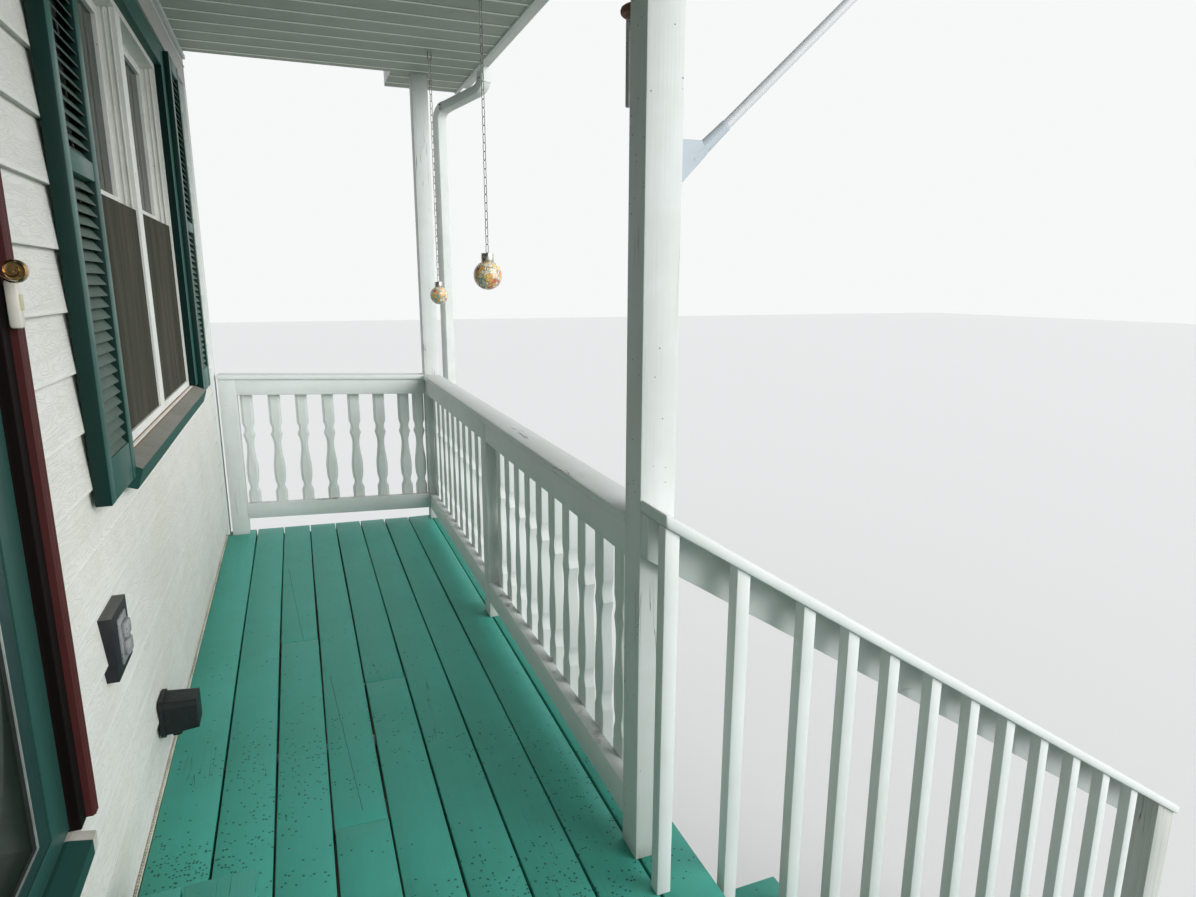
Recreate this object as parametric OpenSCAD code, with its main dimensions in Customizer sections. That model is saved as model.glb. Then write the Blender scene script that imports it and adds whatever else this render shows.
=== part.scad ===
// Covered wooden front porch with a stretch of the house wall behind it.
// X runs away from the wall, Y along the porch towards its far end, Z up from the ground.

/* [Layout along the porch] */
// Clear width of the long railed bay
far_bay = 3067; // [2400:1:3600]
// Clear width between the two posts at the stairs
stair_gap = 1372; // [1100:1:1600]
// Clear width of the short railed bay
near_bay = 1301; // [1100:1:1800]
// Side of the square posts
post = 89; // [80:1:100]

/* [Deck] */
// Number of risers from the ground to the deck
risers = 7; // [6:1:8]
// Height of one riser
riser_h = 178; // [165:0.5:185]
// Going of one tread
tread_run = 280; // [260:1:300]
// Number of deck boards
boards = 9; // [8:1:10]
// Width of a deck board
board_w = 140; // [130:1:150]
// Thickness of a deck board
board_t = 38; // [30:1:40]
// Gap between deck boards
board_gap = 6.4; // [4:0.1:8]
// Width of the board beside the wall
wall_board_w = 150; // [140:1:180]
// Gap between that board and the wall
wall_gap = 16; // [12:0.5:18]
// Fall of the deck away from the wall, for each millimetre
deck_fall = 0.025; // [0:0.005:0.03]
// Deck board edge outside the posts
deck_lip = 67; // [50:1:80]
// Depth of joists, rims and beam
joist_h = 184; // [140:1:235]
// Thickness of sawn framing boards
plank = 38; // [36:1:40]
// Largest spacing of the joists
joist_pitch = 406; // [300:1:450]
// Side of the square piers under the deck
pier = 140; // [120:1:160]

/* [Railings] */
// Top of the level rails above the deck
rail_h = 914; // [860:1:1000]
// Thickness of the caps
cap_t = 26; // [22:1:38]
// Width of a level cap
cap_w = 102; // [92:1:120]
// Rounding of the caps' edges
cap_round = 6; // [3:1:9]
// Height of the apron and of the bottom rail
rail_board_h = 89; // [80:1:100]
// Gap under the bottom rail
rail_lift = 75; // [60:1:100]
// Width of a sawn baluster
baluster_w = 65; // [58:1:70]
// Spacing of the balusters
baluster_pitch = 145.7; // [130:0.1:160]
// Gap between the first baluster and its post
baluster_start = 12; // [6:1:20]
// Depth of the long waist sawn into each side of a baluster
waist_cut = 13; // [8:0.5:15]
// Depth of the two short coves above and below the swell
cove_cut = 9; // [5:0.5:12]
// Width of the stepped margin round a baluster's inner face
margin_w = 10; // [6:1:12]
// Depth of that step
margin_t = 4; // [3:0.5:6]
// Distance of the wall post from the wall
wall_post_off = 43; // [32:1:60]
// Fall of the end rails away from the wall, for each millimetre
end_fall = 0.04; // [0:0.005:0.05]
// Side of a square stair picket
picket = 36; // [32:1:40]
// Spacing of the stair pickets
picket_pitch = 152.7; // [140:0.1:160]
// Distance from the deck's edge to the first picket on the treads
picket_start = 48; // [40:1:70]
// Width of the sloping caps
stair_cap_w = 137; // [130:1:150]
// Height of those caps' tops above the line of the treads' front edges
stair_cap_h = 868; // [820:1:920]

/* [House wall] */
// Thickness of the wall
wall_t = 140; // [120:1:180]
// Visible height of one siding course
lap_h = 131.7; // [120:0.1:140]
// Thickness of a course at its lower edge
lap_t = 13; // [10:0.5:16]
// Height above the deck of the first course's lower edge
lap_start = 73; // [50:1:110]
// Height of the frieze board
frieze_h = 160; // [120:1:170]
// Thickness of the frieze board
frieze_t = 14; // [12:1:25]
// Width of the corner boards
corner_w = 89; // [60:1:120]
// Thickness of the corner boards
corner_t = 28; // [20:1:30]

/* [Window] */
// Middle of the window from the middle of the porch
window_y = 1388; // [1350:1:1420]
// Width of the white frame
window_w = 1512; // [1300:1:1600]
// Height of the white frame
window_h = 1342; // [1200:1:1350]
// Gap between the casing and the frieze board
window_drop = 17; // [5:1:60]
// Width of the green casing
casing_w = 89; // [70:1:95]
// Thickness of the casing
casing_t = 27; // [20:1:34]
// Width of the white border round the sashes
frame_edge = 22; // [18:1:40]
// Width of a shutter
shutter_w = 308; // [280:1:330]
// Top of the shutters below the top of the casing
shutter_drop = 7; // [0:1:30]
// Bottom of the shutters below the white frame
shutter_foot = 52; // [20:1:80]
// Thickness of a shutter
shutter_t = 35; // [28:1:38]
// Slats in one louvre panel
slats = 24; // [12:1:26]

/* [Door] */
// Clear opening of the doorway
door_w = 920; // [860:1:960]
// Height of the doorway
door_h = 1984; // [1900:1:2150]
// Height of the moulding over the doorway
mould_h = 38; // [30:1:66]
// Door sill above the deck
sill_z = 430; // [380:1:450]
// Opening's far side from the middle of the porch
door_far = -198; // [-260:1:-190]
// Gap round the storm door
door_gap = 5; // [5:0.5:8]
// Thickness of the storm door
leaf_t = 38; // [32:1:42]

/* [Roof] */
// Distance of the soffit's outer edge from the wall
soffit_x = 1495; // [1460:1:1540]
// Overhang of the roof past the end posts
rake = 258; // [200:1:300]
// Width of the box return at each end of the eave
return_w = 422; // [380:1:440]
// Rise of the roof for each millimetre of run
roof_slope = 0.3333; // [0.25:0.01:0.5]
// Thickness of boarding and shingles together
roof_t = 40; // [30:1:60]
// Depth of the gutter from back to front
gutter_w = 110; // [100:1:130]
// Height of the gutter
gutter_h = 95; // [80:1:110]
// Wide side of the downspout
spout_w = 70; // [60:1:80]
// Narrow side of the downspout
spout_d = 50; // [45:1:60]
// Radius of the downspout's bends along its middle
spout_r = 75; // [60:1:90]

/* [Fittings] */
// Radius of the larger lantern
lantern_r = 62; // [50:1:70]
// Length of the larger lantern's chain
lantern_drop = 1039; // [600:1:1200]
// Distance of the larger lantern from the corner post
lantern_back = 1364; // [1000:1:1450]
// Radius of the smaller lantern
lantern2_r = 48; // [40:1:60]
// Length of the smaller lantern's chain
lantern2_drop = 1150; // [600:1:1300]
// Distance of the smaller lantern from the corner post
lantern2_back = 438; // [200:1:900]
// Radius of the wind chime's disc
chime_r = 45; // [35:1:60]
// Length of the wind chime's cord
chime_drop = 553; // [300:1:700]
// Length of the chime's tubes
chime_tube = 185; // [150:1:300]
// Length of the flag pole
pole_len = 1770; // [1200:1:1800]
// Radius of the flag pole
pole_r = 14; // [11:0.5:16]
// Slant of the flag pole above the level
pole_tilt = 41; // [30:1:50]

/* [Hidden] */
$fn = 48;
eps = 0.01;
deck_top = risers * riser_h;
deck_len = far_bay + stair_gap + near_bay + 4 * post;
half_len = deck_len / 2;
deck_x1 = wall_gap + wall_board_w + (boards - 1) * (board_gap + board_w);
post_x1 = deck_x1 - deck_lip;
post_x0 = post_x1 - post;
far_post_y = half_len - post;
mid_stair_far = far_post_y - far_bay - post;
mid_stair_near = mid_stair_far - stair_gap - post;
near_post_y = -half_len;
under_deck = deck_top - board_t;
flat_x = deck_x1 - 2 * (board_w + board_gap);
joist_z = under_deck - joist_h;
found_top = joist_z - 50;
rim_x1 = deck_x1 - 15;
door_near = door_far - door_w;
sill_top = deck_top + sill_z;
door_head = sill_top + door_h;
frieze_z0 = door_head + mould_h + 1;
ceil_z = frieze_z0 + frieze_h;
ceil_t = 12;
ceil_end = far_post_y + 11;
fascia_t = 20;
fascia_x1 = soffit_x + fascia_t;
fascia_h = 140;
eave_x = fascia_x1 + 15;
roof_end = half_len + rake;
roof_z = ceil_z + fascia_h;
cap_z0 = deck_top + rail_h - cap_t;
apron_z0 = cap_z0 - rail_board_h;
bottom_z0 = deck_top + rail_lift;
bottom_z1 = bottom_z0 + rail_board_h;
wall_post_x1 = wall_post_off + post;
stair_slope = riser_h / tread_run;
stair_len = (risers - 1) * tread_run;
newel_x0 = deck_x1 + stair_len + 55;
slope_a = atan(stair_slope);
jamb_t = 25;
mould_w = 66;
mould_x1 = 33;
leaf_x1 = -2;
win_y0 = window_y - window_w / 2;
win_y1 = window_y + window_w / 2;
win_z1 = frieze_z0 - window_drop - casing_w;
win_z0 = win_z1 - window_h;
shutter_z0 = win_z0 - shutter_foot;
shutter_h = win_z1 + casing_w - shutter_drop - shutter_z0;
shutter_x0 = lap_t;
x_min = -wall_t;
x_max = newel_x0 + post + 14;
mid_x = (x_min + x_max) / 2;

function roof_under(x) = roof_z + (eave_x - x) * roof_slope;
function roof_seat(x) = roof_under(x) - 0.02;
function deck_z(x) = deck_top + max(0, flat_x - x) * deck_fall;
function deck_seat(x) = deck_z(x) + 0.03;
function deck_under(x) = deck_z(x) - board_t - 0.03;
function end_lift(x) = (post_x0 - x) * end_fall;
function nosing(x) = deck_top - (x - deck_x1) * stair_slope;

// Box between two corners
module block(x, y, z) {
    translate([x[0], y[0], z[0]])
        cube([x[1] - x[0], y[1] - y[0], z[1] - z[0]]);
}

// Profile in X and Z drawn out along Y
module along_y(y0, y1) {
    translate([0, y1, 0])
        rotate([90, 0, 0])
            linear_extrude(y1 - y0)
                children();
}

// Profile in Y and Z drawn out along X
module along_x(x0, x1) {
    translate([x0, 0, 0])
        rotate([90, 0, 90])
            linear_extrude(x1 - x0)
                children();
}

// House wall

// Outline of the wall across its thickness, with lapped courses on the outer face
module wall_profile(z0, z1) {
    first = deck_top + lap_start;
    n = ceil((z1 - first) / lap_h);
    intersection() {
        union() {
            polygon([[-wall_t, z0], [0, z0], [0, z1 + 600], [-wall_t, z1 + 600]]);
            difference() {
                for (k = [-1:n]) {
                    low = first + k * lap_h;
                    polygon([[-eps, low], [lap_t, low], [1, low + lap_h], [-eps, low + lap_h]]);
                }
                translate([0, deck_top - lap_h])
                    square([60, lap_h]);
            }
        }
        polygon([[-wall_t, z0], [60, z0], [60, z1], [-wall_t, z1]]);
    }
}

module wall_piece(y0, y1, z0, z1) {
    along_y(y0, y1)
        wall_profile(z0, z1);
}

module wall_top_cut() {
    along_y(-half_len - 10, half_len + 10)
        polygon([[-wall_t - 10, roof_seat(-wall_t - 10)], [70, roof_seat(70)],
                 [70, roof_seat(-wall_t)], [-wall_t - 10, roof_seat(-wall_t) + 900]]);
}

wall_top = roof_seat(-wall_t) + 1;

module wall_far() {
    color([0.82, 0.83, 0.81])
        difference() {
            wall_piece(door_far + jamb_t, half_len, found_top, wall_top);
            block([-wall_t - 1, 70], [win_y0, win_y1], [win_z0, win_z1]);
            block([0, 70], [win_y0 - casing_w, win_y1 + casing_w], [win_z0 - 6, win_z1 + casing_w]);
            block([0, 70], [half_len - corner_w, half_len + 1], [deck_top, frieze_z0]);
            wall_top_cut();
        }
}

module wall_near() {
    color([0.82, 0.83, 0.81])
        difference() {
            wall_piece(-half_len, door_near - jamb_t, found_top, wall_top);
            block([0, 70], [-half_len - 1, corner_w - half_len], [deck_top, frieze_z0]);
            wall_top_cut();
        }
}

module wall_over_door() {
    color([0.82, 0.83, 0.81])
        difference() {
            wall_piece(door_near - jamb_t, door_far + jamb_t, door_head + jamb_t, wall_top);
            wall_top_cut();
        }
}

module wall_under_door() {
    color([0.82, 0.83, 0.81])
        wall_piece(door_near - jamb_t, door_far + jamb_t, found_top, sill_top - plank);
}

module foundation() {
    color([0.6, 0.6, 0.58])
        block([x_min, -5], [-half_len, half_len], [0, found_top]);
}

module frieze_board() {
    color([0.74, 0.76, 0.72])
        block([lap_t, lap_t + frieze_t], [-half_len, half_len], [frieze_z0, ceil_z]);
}

// Boards that the courses butt against at both ends of the wall
module corner_boards() {
    color([0.8, 0.82, 0.81])
        for (y = [-half_len, half_len - corner_w])
            block([0, corner_t], [y, y + corner_w], [deck_z(0) + 5, frieze_z0]);
}

// Window

module window_casing() {
    x = [0, casing_t];
    z = [win_z0 - 6, win_z1 + casing_w];
    color([0.08, 0.25, 0.2])
        difference() {
            block(x, [win_y0 - casing_w, win_y1 + casing_w], z);
            block([-1, 60], [win_y0, win_y1], [win_z0 - 10, win_z1]);
        }
}

module window_sill() {
    front = 46;
    top = win_z0 - 6;
    color([0.1, 0.35, 0.28])
        along_y(win_y0 - casing_w - 10, win_y1 + casing_w + 10)
            polygon([[lap_t, top], [front, top - 8], [front, top - 50], [lap_t, top - 50]]);
}

mullion_w = 84;
light_w = (window_w - mullion_w - 2 * frame_edge) / 2;

module light_hole(side, z0, z1, trim) {
    y = side < 0 ? win_y0 + frame_edge : win_y1 - frame_edge - light_w;
    block([-200, 200], [y + trim, y + light_w - trim], [z0 + trim, z1 - trim]);
}

module window_frame() {
    x = [-92, 0];
    mid = (win_z0 + win_z1) / 2;
    sash_x = -50;
    low = win_z0 + frame_edge;
    high = win_z1 - frame_edge;
    color([0.88, 0.89, 0.87]) {
        difference() {
            block(x, [win_y0, win_y1], [win_z0, win_z1]);
            for (side = [-1, 1]) {
                light_hole(side, low, mid + 20, 0);
                light_hole(side, mid + 20, high, 36);
                intersection() {
                    light_hole(side, mid + 20, high, 0);
                    block([sash_x, 200], [-4000, 4000], [0, 9000]);
                }
                intersection() {
                    light_hole(side, mid - 20, high, 0);
                    block([sash_x + 14, 200], [-4000, 4000], [0, mid + 21]);
                }
            }
        }
        for (edge = [win_y0 + frame_edge, win_y1 - frame_edge - light_w])
            for (track = [-34, -17])
                for (y = [edge - eps, edge + light_w - 5 + eps])
                    block([track, track + 3], [y, y + 5], [mid + 19, high + eps]);
    }
}

module window_glass() {
    mid = (win_z0 + win_z1) / 2;
    color([0.2, 0.25, 0.25])
        for (side = [-1, 1]) {
            intersection() {
                light_hole(side, mid + 20, win_z1 - frame_edge, 36);
                block([-68, -62], [-4000, 4000], [0, 9000]);
            }
            intersection() {
                light_hole(side, win_z0 + frame_edge, mid + 20, 0);
                block([-80, -74], [-4000, 4000], [0, 9000]);
            }
        }
}

module window_screens() {
    mid = (win_z0 + win_z1) / 2;
    color([0.25, 0.25, 0.24])
        for (side = [-1, 1])
            intersection() {
                light_hole(side, win_z0 + frame_edge, mid + 20, 0);
                block([-12, -7], [-4000, 4000], [0, 9000]);
            }
}

// Louvred shutter: stiles, three rails and two panels of sloping slats
module shutter(y0) {
    stile = 48;
    top_rail = 60;
    mid_rail = 44;
    low_rail = 100;
    inner_w = shutter_w - 2 * stile;
    panel_h = (shutter_h - top_rail - mid_rail - low_rail) / 2;
    pitch = panel_h / slats;
    translate([shutter_x0, y0, shutter_z0]) {
        difference() {
            cube([shutter_t, shutter_w, shutter_h]);
            for (z = [low_rail, low_rail + panel_h + mid_rail])
                translate([-1, stile, z])
                    cube([shutter_t + 2, inner_w, panel_h]);
        }
        for (z = [low_rail, low_rail + panel_h + mid_rail])
            for (k = [0:slats - 1])
                translate([shutter_t / 2, stile - eps, z + (k + 0.5) * pitch])
                    rotate([0, 40, 0])
                        translate([-17, 0, -3])
                            cube([34, inner_w + 2 * eps, 6]);
    }
}

module shutters() {
    color([0.08, 0.25, 0.2]) {
        shutter(win_y0 - casing_w - 10 - shutter_w);
        shutter(win_y1 + casing_w + 10);
    }
}

// Door

module door_moulding() {
    y0 = door_near - mould_w;
    y1 = door_far + mould_w;
    color([0.33, 0.12, 0.12])
        difference() {
            union() {
                block([lap_t, mould_x1], [y0, y1], [sill_top, door_head + mould_h]);
                block([0, lap_t + eps], [door_near - jamb_t, door_far + jamb_t],
                      [sill_top, door_head + jamb_t]);
            }
            block([-10, 60], [door_near, door_far], [sill_top - 10, door_head]);
            for (y = [y0, y1])
                translate([mould_x1, y, 0])
                    cylinder(r = 12, h = 9000);
        }
}

module door_jambs() {
    z = [sill_top - plank, door_head + jamb_t];
    x = [-wall_t, 0];
    stop = [-70, -45];
    color([0.12, 0.09, 0.08]) {
        difference() {
            block(x, [door_near - jamb_t, door_far + jamb_t], z);
            block([-200, 20], [door_near, door_far], [sill_top, door_head]);
        }
        difference() {
            block(stop, [door_near - eps, door_far + eps], [sill_top - eps, door_head + eps]);
            block([-200, 20], [door_near + 12, door_far - 12], [sill_top - 1, door_head - 12]);
        }
        along_y(door_near, door_far)
            polygon([[-eps, sill_top - plank], [38, sill_top - plank],
                     [38, sill_top - 8], [-eps, sill_top]]);
    }
}

leaf_y0 = door_near + door_gap;
leaf_y1 = door_far - door_gap;
leaf_z0 = sill_top + 8;
leaf_z1 = door_head - door_gap;
pin_x = leaf_x1 + 6;
pin_y = leaf_y0 + 1;
lever_z = sill_top + 1046;
hinge_z = [leaf_z0 + 220, (leaf_z0 + leaf_z1) / 2, leaf_z1 - 220];

module leaf_openings(grow, x) {
    stile = 110;
    y = [leaf_y0 + stile - grow, leaf_y1 - stile + grow];
    block(x, y, [leaf_z0 + 620 - grow, leaf_z1 - 120 + grow]);
}

module storm_door() {
    color([0.1, 0.3, 0.25])
        difference() {
            union() {
                block([leaf_x1 - leaf_t, leaf_x1], [leaf_y0, leaf_y1], [leaf_z0, leaf_z1]);
                for (z = hinge_z)
                    hull() {
                        translate([pin_x, pin_y, z - 45])
                            cylinder(r = 5.5, h = 90);
                        block([leaf_x1 - 1, leaf_x1], [pin_y + 2, pin_y + 16], [z - 45, z + 45]);
                    }
            }
            leaf_openings(0, [-200, 200]);
            block([leaf_x1 - 9, 200], [leaf_y0 + 110, leaf_y1 - 110], [leaf_z0 + 130, leaf_z0 + 520]);
            for (z = hinge_z)
                translate([pin_x, pin_y, z - 50])
                    cylinder(r = 3.5, h = 100);
        }
}

module door_glass() {
    color([0.15, 0.2, 0.2])
        intersection() {
            leaf_openings(0, [leaf_x1 - leaf_t / 2 + 3, leaf_x1 - leaf_t / 2 + 9]);
            block([-200, 200], [leaf_y0, leaf_y1], [leaf_z0, leaf_z1]);
        }
}

// Brass lever with a curled end on the storm door
module door_lever() {
    y = leaf_y1 - 45;
    reach = 62;
    run = 72;
    color([0.72, 0.53, 0.25])
        translate([leaf_x1, y, lever_z]) {
            rotate([0, 90, 0])
                cylinder(r = 27, h = 6);
            rotate([0, 90, 0])
                cylinder(r = 10, h = reach);
            translate([reach, 0, 0])
                sphere(r = 12);
            translate([reach, 0, 0])
                rotate([90, 0, 0])
                    cylinder(r = 8, h = run);
            translate([reach, -run, -14])
                rotate([0, 90, 0])
                    rotate_extrude(angle = 360)
                        translate([14, 0])
                            circle(r = 7);
        }
}

module hinge_pins() {
    color([0.55, 0.45, 0.25])
        for (z = hinge_z) {
            translate([pin_x, pin_y, z - 52])
                cylinder(r = 3, h = 104);
            for (dz = [-58, 46.5])
                hull() {
                    translate([pin_x, pin_y, z + dz])
                        cylinder(r = 5.5, h = 11.5);
                    block([1, 8], [door_near, door_near + 1], [z + dz, z + dz + 11.5]);
                }
        }
}

// Deck

function board_x1(k) = wall_gap + wall_board_w + k * (board_gap + board_w);
function board_x0(k) = k == 0 ? wall_gap : board_x1(k) - board_w;
// Butt joints of the boards along the deck, where a board is in two lengths
joint_y = [-1900, -1500, 1402, 185, 966, -2200, -1400, -2500, -1700];

module deck_boards() {
    color([0.2, 0.5, 0.43])
        for (k = [0:boards - 1]) {
            x0 = board_x0(k);
            x1 = board_x1(k);
            for (y = [[-half_len, joint_y[k] - 1], [joint_y[k] + 1, half_len]])
                along_y(y[0], y[1])
                    polygon([[x0, deck_z(x0) - board_t], [x1, deck_z(x1) - board_t],
                             [x1, deck_z(x1)], [x0, deck_z(x0)]]);
        }
}

module deck_rims() {
    color([0.55, 0.5, 0.42]) {
        along_y(-half_len, half_len)
            polygon([[0, joist_z], [plank, joist_z],
                     [plank, deck_under(plank)], [0, deck_under(0)]]);
        block([rim_x1 - plank, rim_x1], [-half_len, half_len], [joist_z, under_deck]);
    }
}

module deck_joists() {
    n = ceil((deck_len - plank) / joist_pitch);
    step = (deck_len - plank) / n;
    color([0.55, 0.5, 0.42])
        for (k = [0:n]) {
            y = -half_len + k * step;
            along_y(y, y + plank)
                polygon([[plank, joist_z], [rim_x1 - plank, joist_z], [rim_x1 - plank, under_deck],
                         [flat_x, deck_under(flat_x)], [plank, deck_under(plank)]]);
        }
}

module deck_beam() {
    color([0.55, 0.5, 0.42])
        block([post_x0 + 6, post_x1 - 7], [-half_len, half_len], [joist_z - joist_h, joist_z]);
}

pier_y = [-half_len, mid_stair_near - (pier - post), mid_stair_far, (mid_stair_far + half_len) / 2,
          half_len - pier];

module deck_piers() {
    x = (post_x0 + post_x1 - pier) / 2;
    color([0.5, 0.45, 0.36])
        for (y = pier_y)
            translate([x, y, 0])
                cube([pier, pier, joist_z - joist_h]);
}

module door_step() {
    depth = 2 * board_w + board_gap;
    h = sill_z / 2;
    past = 50;
    y = [door_near - past, door_far + past];
    x0 = lap_t + 4;
    x1 = x0 + depth - 15;
    top = deck_top + h;
    color([0.2, 0.5, 0.43]) {
        difference() {
            along_y(y[0] + 15, y[1] - 15)
                polygon([[x0, deck_seat(x0)], [x1, deck_seat(x1)],
                         [x1, top - board_t + eps], [x0, top - board_t + eps]]);
            block([x0 + plank, x1 - plank], [y[0] + 15 + plank, y[1] - 15 - plank],
                  [deck_top - 1, top - board_t]);
        }
        for (x = [x0, x0 + board_w + board_gap])
            block([x, x + board_w], y, [top - board_t, top]);
    }
}

// Posts

module roof_posts() {
    color([0.8, 0.82, 0.81])
        for (y = [near_post_y, mid_stair_near, mid_stair_far, far_post_y])
            block([post_x0, post_x1], [y, y + post], [deck_top, ceil_z + ceil_t]);
}

mid_post_y = far_post_y - (far_bay + post) / 2;

module mid_post() {
    color([0.8, 0.82, 0.81])
        block([post_x0, post_x1], [mid_post_y, mid_post_y + post], [deck_top, cap_z0]);
}

module wall_posts() {
    x0 = wall_post_off;
    x1 = wall_post_x1;
    color([0.8, 0.82, 0.81])
        for (y = [near_post_y, far_post_y])
            along_y(y, y + post)
                polygon([[x0, deck_seat(x0)], [x1, deck_seat(x1)], [x1, end_seat(x1)], [x0, end_seat(x0)]]);
}

// Railings

// Half width of a sawn baluster at a height above the deck: square ends, a cove under the upper end,
// a long waist that swells into a belly, and a second cove over the foot
function half_width(z) =
    let (w = baluster_w / 2, low = bottom_z1 - deck_top, h = apron_z0 - bottom_z1, t = (z - low) / h)
    t > 0.735 || t < 0.093 ? w :
    t > 0.63 ? w - cove_cut * sin(180 * (t - 0.63) / 0.105) :
    t > 0.528 ? w - waist_cut * sin(90 * (0.63 - t) / 0.102) :
    t > 0.293 ? w - waist_cut * (1 + cos(180 * (0.528 - t) / 0.235)) / 2 :
    t > 0.192 ? w - 4 * pow((0.293 - t) / 0.101, 2) :
    w - 4 * (t - 0.093) / 0.099 - cove_cut * sin(180 * (t - 0.093) / 0.099);

// Heights at which the outline has its points, from the foot's cove up to the upper cove
function outline_steps() =
    let (low = bottom_z1 - deck_top, h = apron_z0 - bottom_z1)
    [for (t = [0.093, 0.11, 0.13, 0.15, 0.17, 0.192, 0.24, 0.293, 0.35, 0.41, 0.47, 0.528,
               0.56, 0.595, 0.63, 0.65, 0.67, 0.695, 0.715, 0.735]) low + t * h];

module baluster_outline(inset) {
    steps = outline_steps();
    z0 = bottom_z0 - deck_top + 6;
    z1 = cap_z0 - deck_top;
    right = [for (z = steps) [half_width(z + eps) - inset, z]];
    left = [for (k = [len(steps) - 1:-1:0]) [inset - half_width(steps[k] + eps), steps[k]]];
    w = baluster_w / 2 - inset;
    polygon(concat([[w, z0]], right, [[w, z1], [-w, z1]], left, [[-w, z0]]));
}

// A baluster sawn from a board, its inner face raised inside a stepped margin that follows the outline
module baluster() {
    translate([0, plank, deck_top])
        rotate([90, 0, 0]) {
            linear_extrude(plank - margin_t)
                baluster_outline(0);
            linear_extrude(plank)
                baluster_outline(margin_w);
        }
}

// Underside of the end caps, which run down from the wall post to the corner post
function end_seat(x) = cap_z0 + end_lift(x) - 0.03;

// Board on edge that drops by fall for each millimetre of its length w
module panel_rail(w, z0, z1, fall) {
    translate([0, plank, 0])
        rotate([90, 0, 0])
            linear_extrude(plank)
                polygon([[0, z0 + w * fall], [w, z0], [w, z1], [0, z1 + w * fall]]);
}

// A panel along X between two posts: apron and bottom rail on edge, balusters on their outer faces
module level_panel(w, squeezed, fall) {
    seat = fall > 0 ? 0.03 : 0;
    first = baluster_start + baluster_w / 2;
    panel_rail(w, apron_z0, cap_z0 - seat, fall);
    panel_rail(w, bottom_z0, bottom_z1, fall);
    n = floor((w - first - baluster_w / 2) / baluster_pitch + (squeezed ? 0.001 : 0));
    for (k = [0:n])
        panel_baluster(first + k * baluster_pitch, w, fall, seat);
    if (squeezed)
        panel_baluster(w - first + 3, w, fall, seat);
}

// Baluster at x along a panel, lifted with the rails until its top meets the cap
module panel_baluster(x, w, fall, seat) {
    translate([x, plank - eps, (w - x - baluster_w / 2) * fall - seat])
        baluster();
}

// The same panel laid along Y, its inner face flush with the inner faces of the posts, starting at its far end
module front_panel(y1, w) {
    color([0.8, 0.82, 0.81])
        translate([post_x0, y1, 0])
            rotate([0, 0, -90])
                level_panel(w, false, 0);
}

module front_panel_corner() {
    front_panel(far_post_y, (far_bay - post) / 2);
}

module front_panel_stairs() {
    front_panel(mid_post_y, (far_bay - post) / 2);
}

module front_panel_near() {
    front_panel(mid_stair_near, near_bay);
}

module end_panel() {
    color([0.8, 0.82, 0.81])
        level_panel(post_x0 - wall_post_x1, true, end_fall);
}

module end_panel_far() {
    translate([wall_post_x1, far_post_y, 0])
        end_panel();
}

module end_panel_near() {
    translate([wall_post_x1, near_post_y + post, 0])
        mirror([0, 1, 0])
            end_panel();
}

// Section of a cap board with rounded edges, its inner lower corner at the origin
module cap_section(w, t) {
    r = cap_round;
    arc = [0, 30, 60, 90];
    polygon(concat(
        [for (a = arc) [w - r + r * sin(a), t - r + r * cos(a)]],
        [for (a = arc) [w - r + r * cos(a), r - r * sin(a)]],
        [for (a = arc) [r - r * sin(a), r - r * cos(a)]],
        [for (a = arc) [r - r * cos(a), t - r + r * sin(a)]]));
}

// Flat board on the end rail, over the wall post and up to the corner post
module end_cap(x1) {
    x0 = wall_post_off - 2;
    intersection() {
        translate([x1, 0, cap_z0])
            rotate([0, atan(end_fall), 0])
                translate([x0 - x1 - 20, 0, 0])
                    rotate([90, 0, 90])
                        linear_extrude(x1 - x0 + 40)
                            cap_section(cap_w, cap_t);
        block([x0, x1], [-10, cap_w + 10], [0, 9000]);
    }
}

// Flat board on the front rail, from y0 to y1
module front_cap(y0, y1) {
    translate([post_x1 - cap_w, y1, cap_z0])
        rotate([90, 0, 0])
            linear_extrude(y1 - y0)
                cap_section(cap_w, cap_t);
}

cap_in = cap_w - post;

module level_caps() {
    color([0.84, 0.85, 0.84]) {
        translate([0, far_post_y - cap_in, 0])
            end_cap(post_x0);
        front_cap(mid_stair_far + post, far_post_y - cap_in);
        translate([0, near_post_y, 0])
            end_cap(post_x0);
        front_cap(near_post_y + post + cap_in, mid_stair_near);
    }
}

// Places for the stair railing's pieces: y = 0 on the inner face of the apron, the stairs on the minus side
module at_stair_sides() {
    translate([0, mid_stair_far - plank, 0])
        children();
    translate([0, mid_stair_near + post + plank, 0])
        mirror([0, 1, 0])
            children();
}

function cap_top(x) = nosing(x) + stair_cap_h;
function cap_seat(x) = cap_top(x) - cap_t / cos(slope_a) - 0.03;
apron_v = rail_board_h / cos(slope_a);

// Sloping apron fixed to the post's face and past the newel
module stair_rails() {
    color([0.8, 0.82, 0.81])
        at_stair_sides()
            translate([0, plank, 0])
                rotate([90, 0, 0])
                    linear_extrude(plank)
                        polygon([[post_x0 + 2, cap_seat(post_x0 + 2)],
                                 [newel_x0 + post, cap_seat(newel_x0 + post)],
                                 [newel_x0 + post, cap_seat(newel_x0 + post) - apron_v],
                                 [post_x0 + 2, cap_seat(post_x0 + 2) - apron_v]]);
}

module stair_newels() {
    color([0.8, 0.82, 0.81])
        at_stair_sides()
            rotate([90, 0, 0])
                linear_extrude(post)
                    polygon([[newel_x0, 0], [newel_x0 + post, 0],
                             [newel_x0 + post, cap_seat(newel_x0 + post)], [newel_x0, cap_seat(newel_x0)]]);
}

// How far the first pickets on the treads stand off their even places
picket_shift = [-16, 25, 13];

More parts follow.
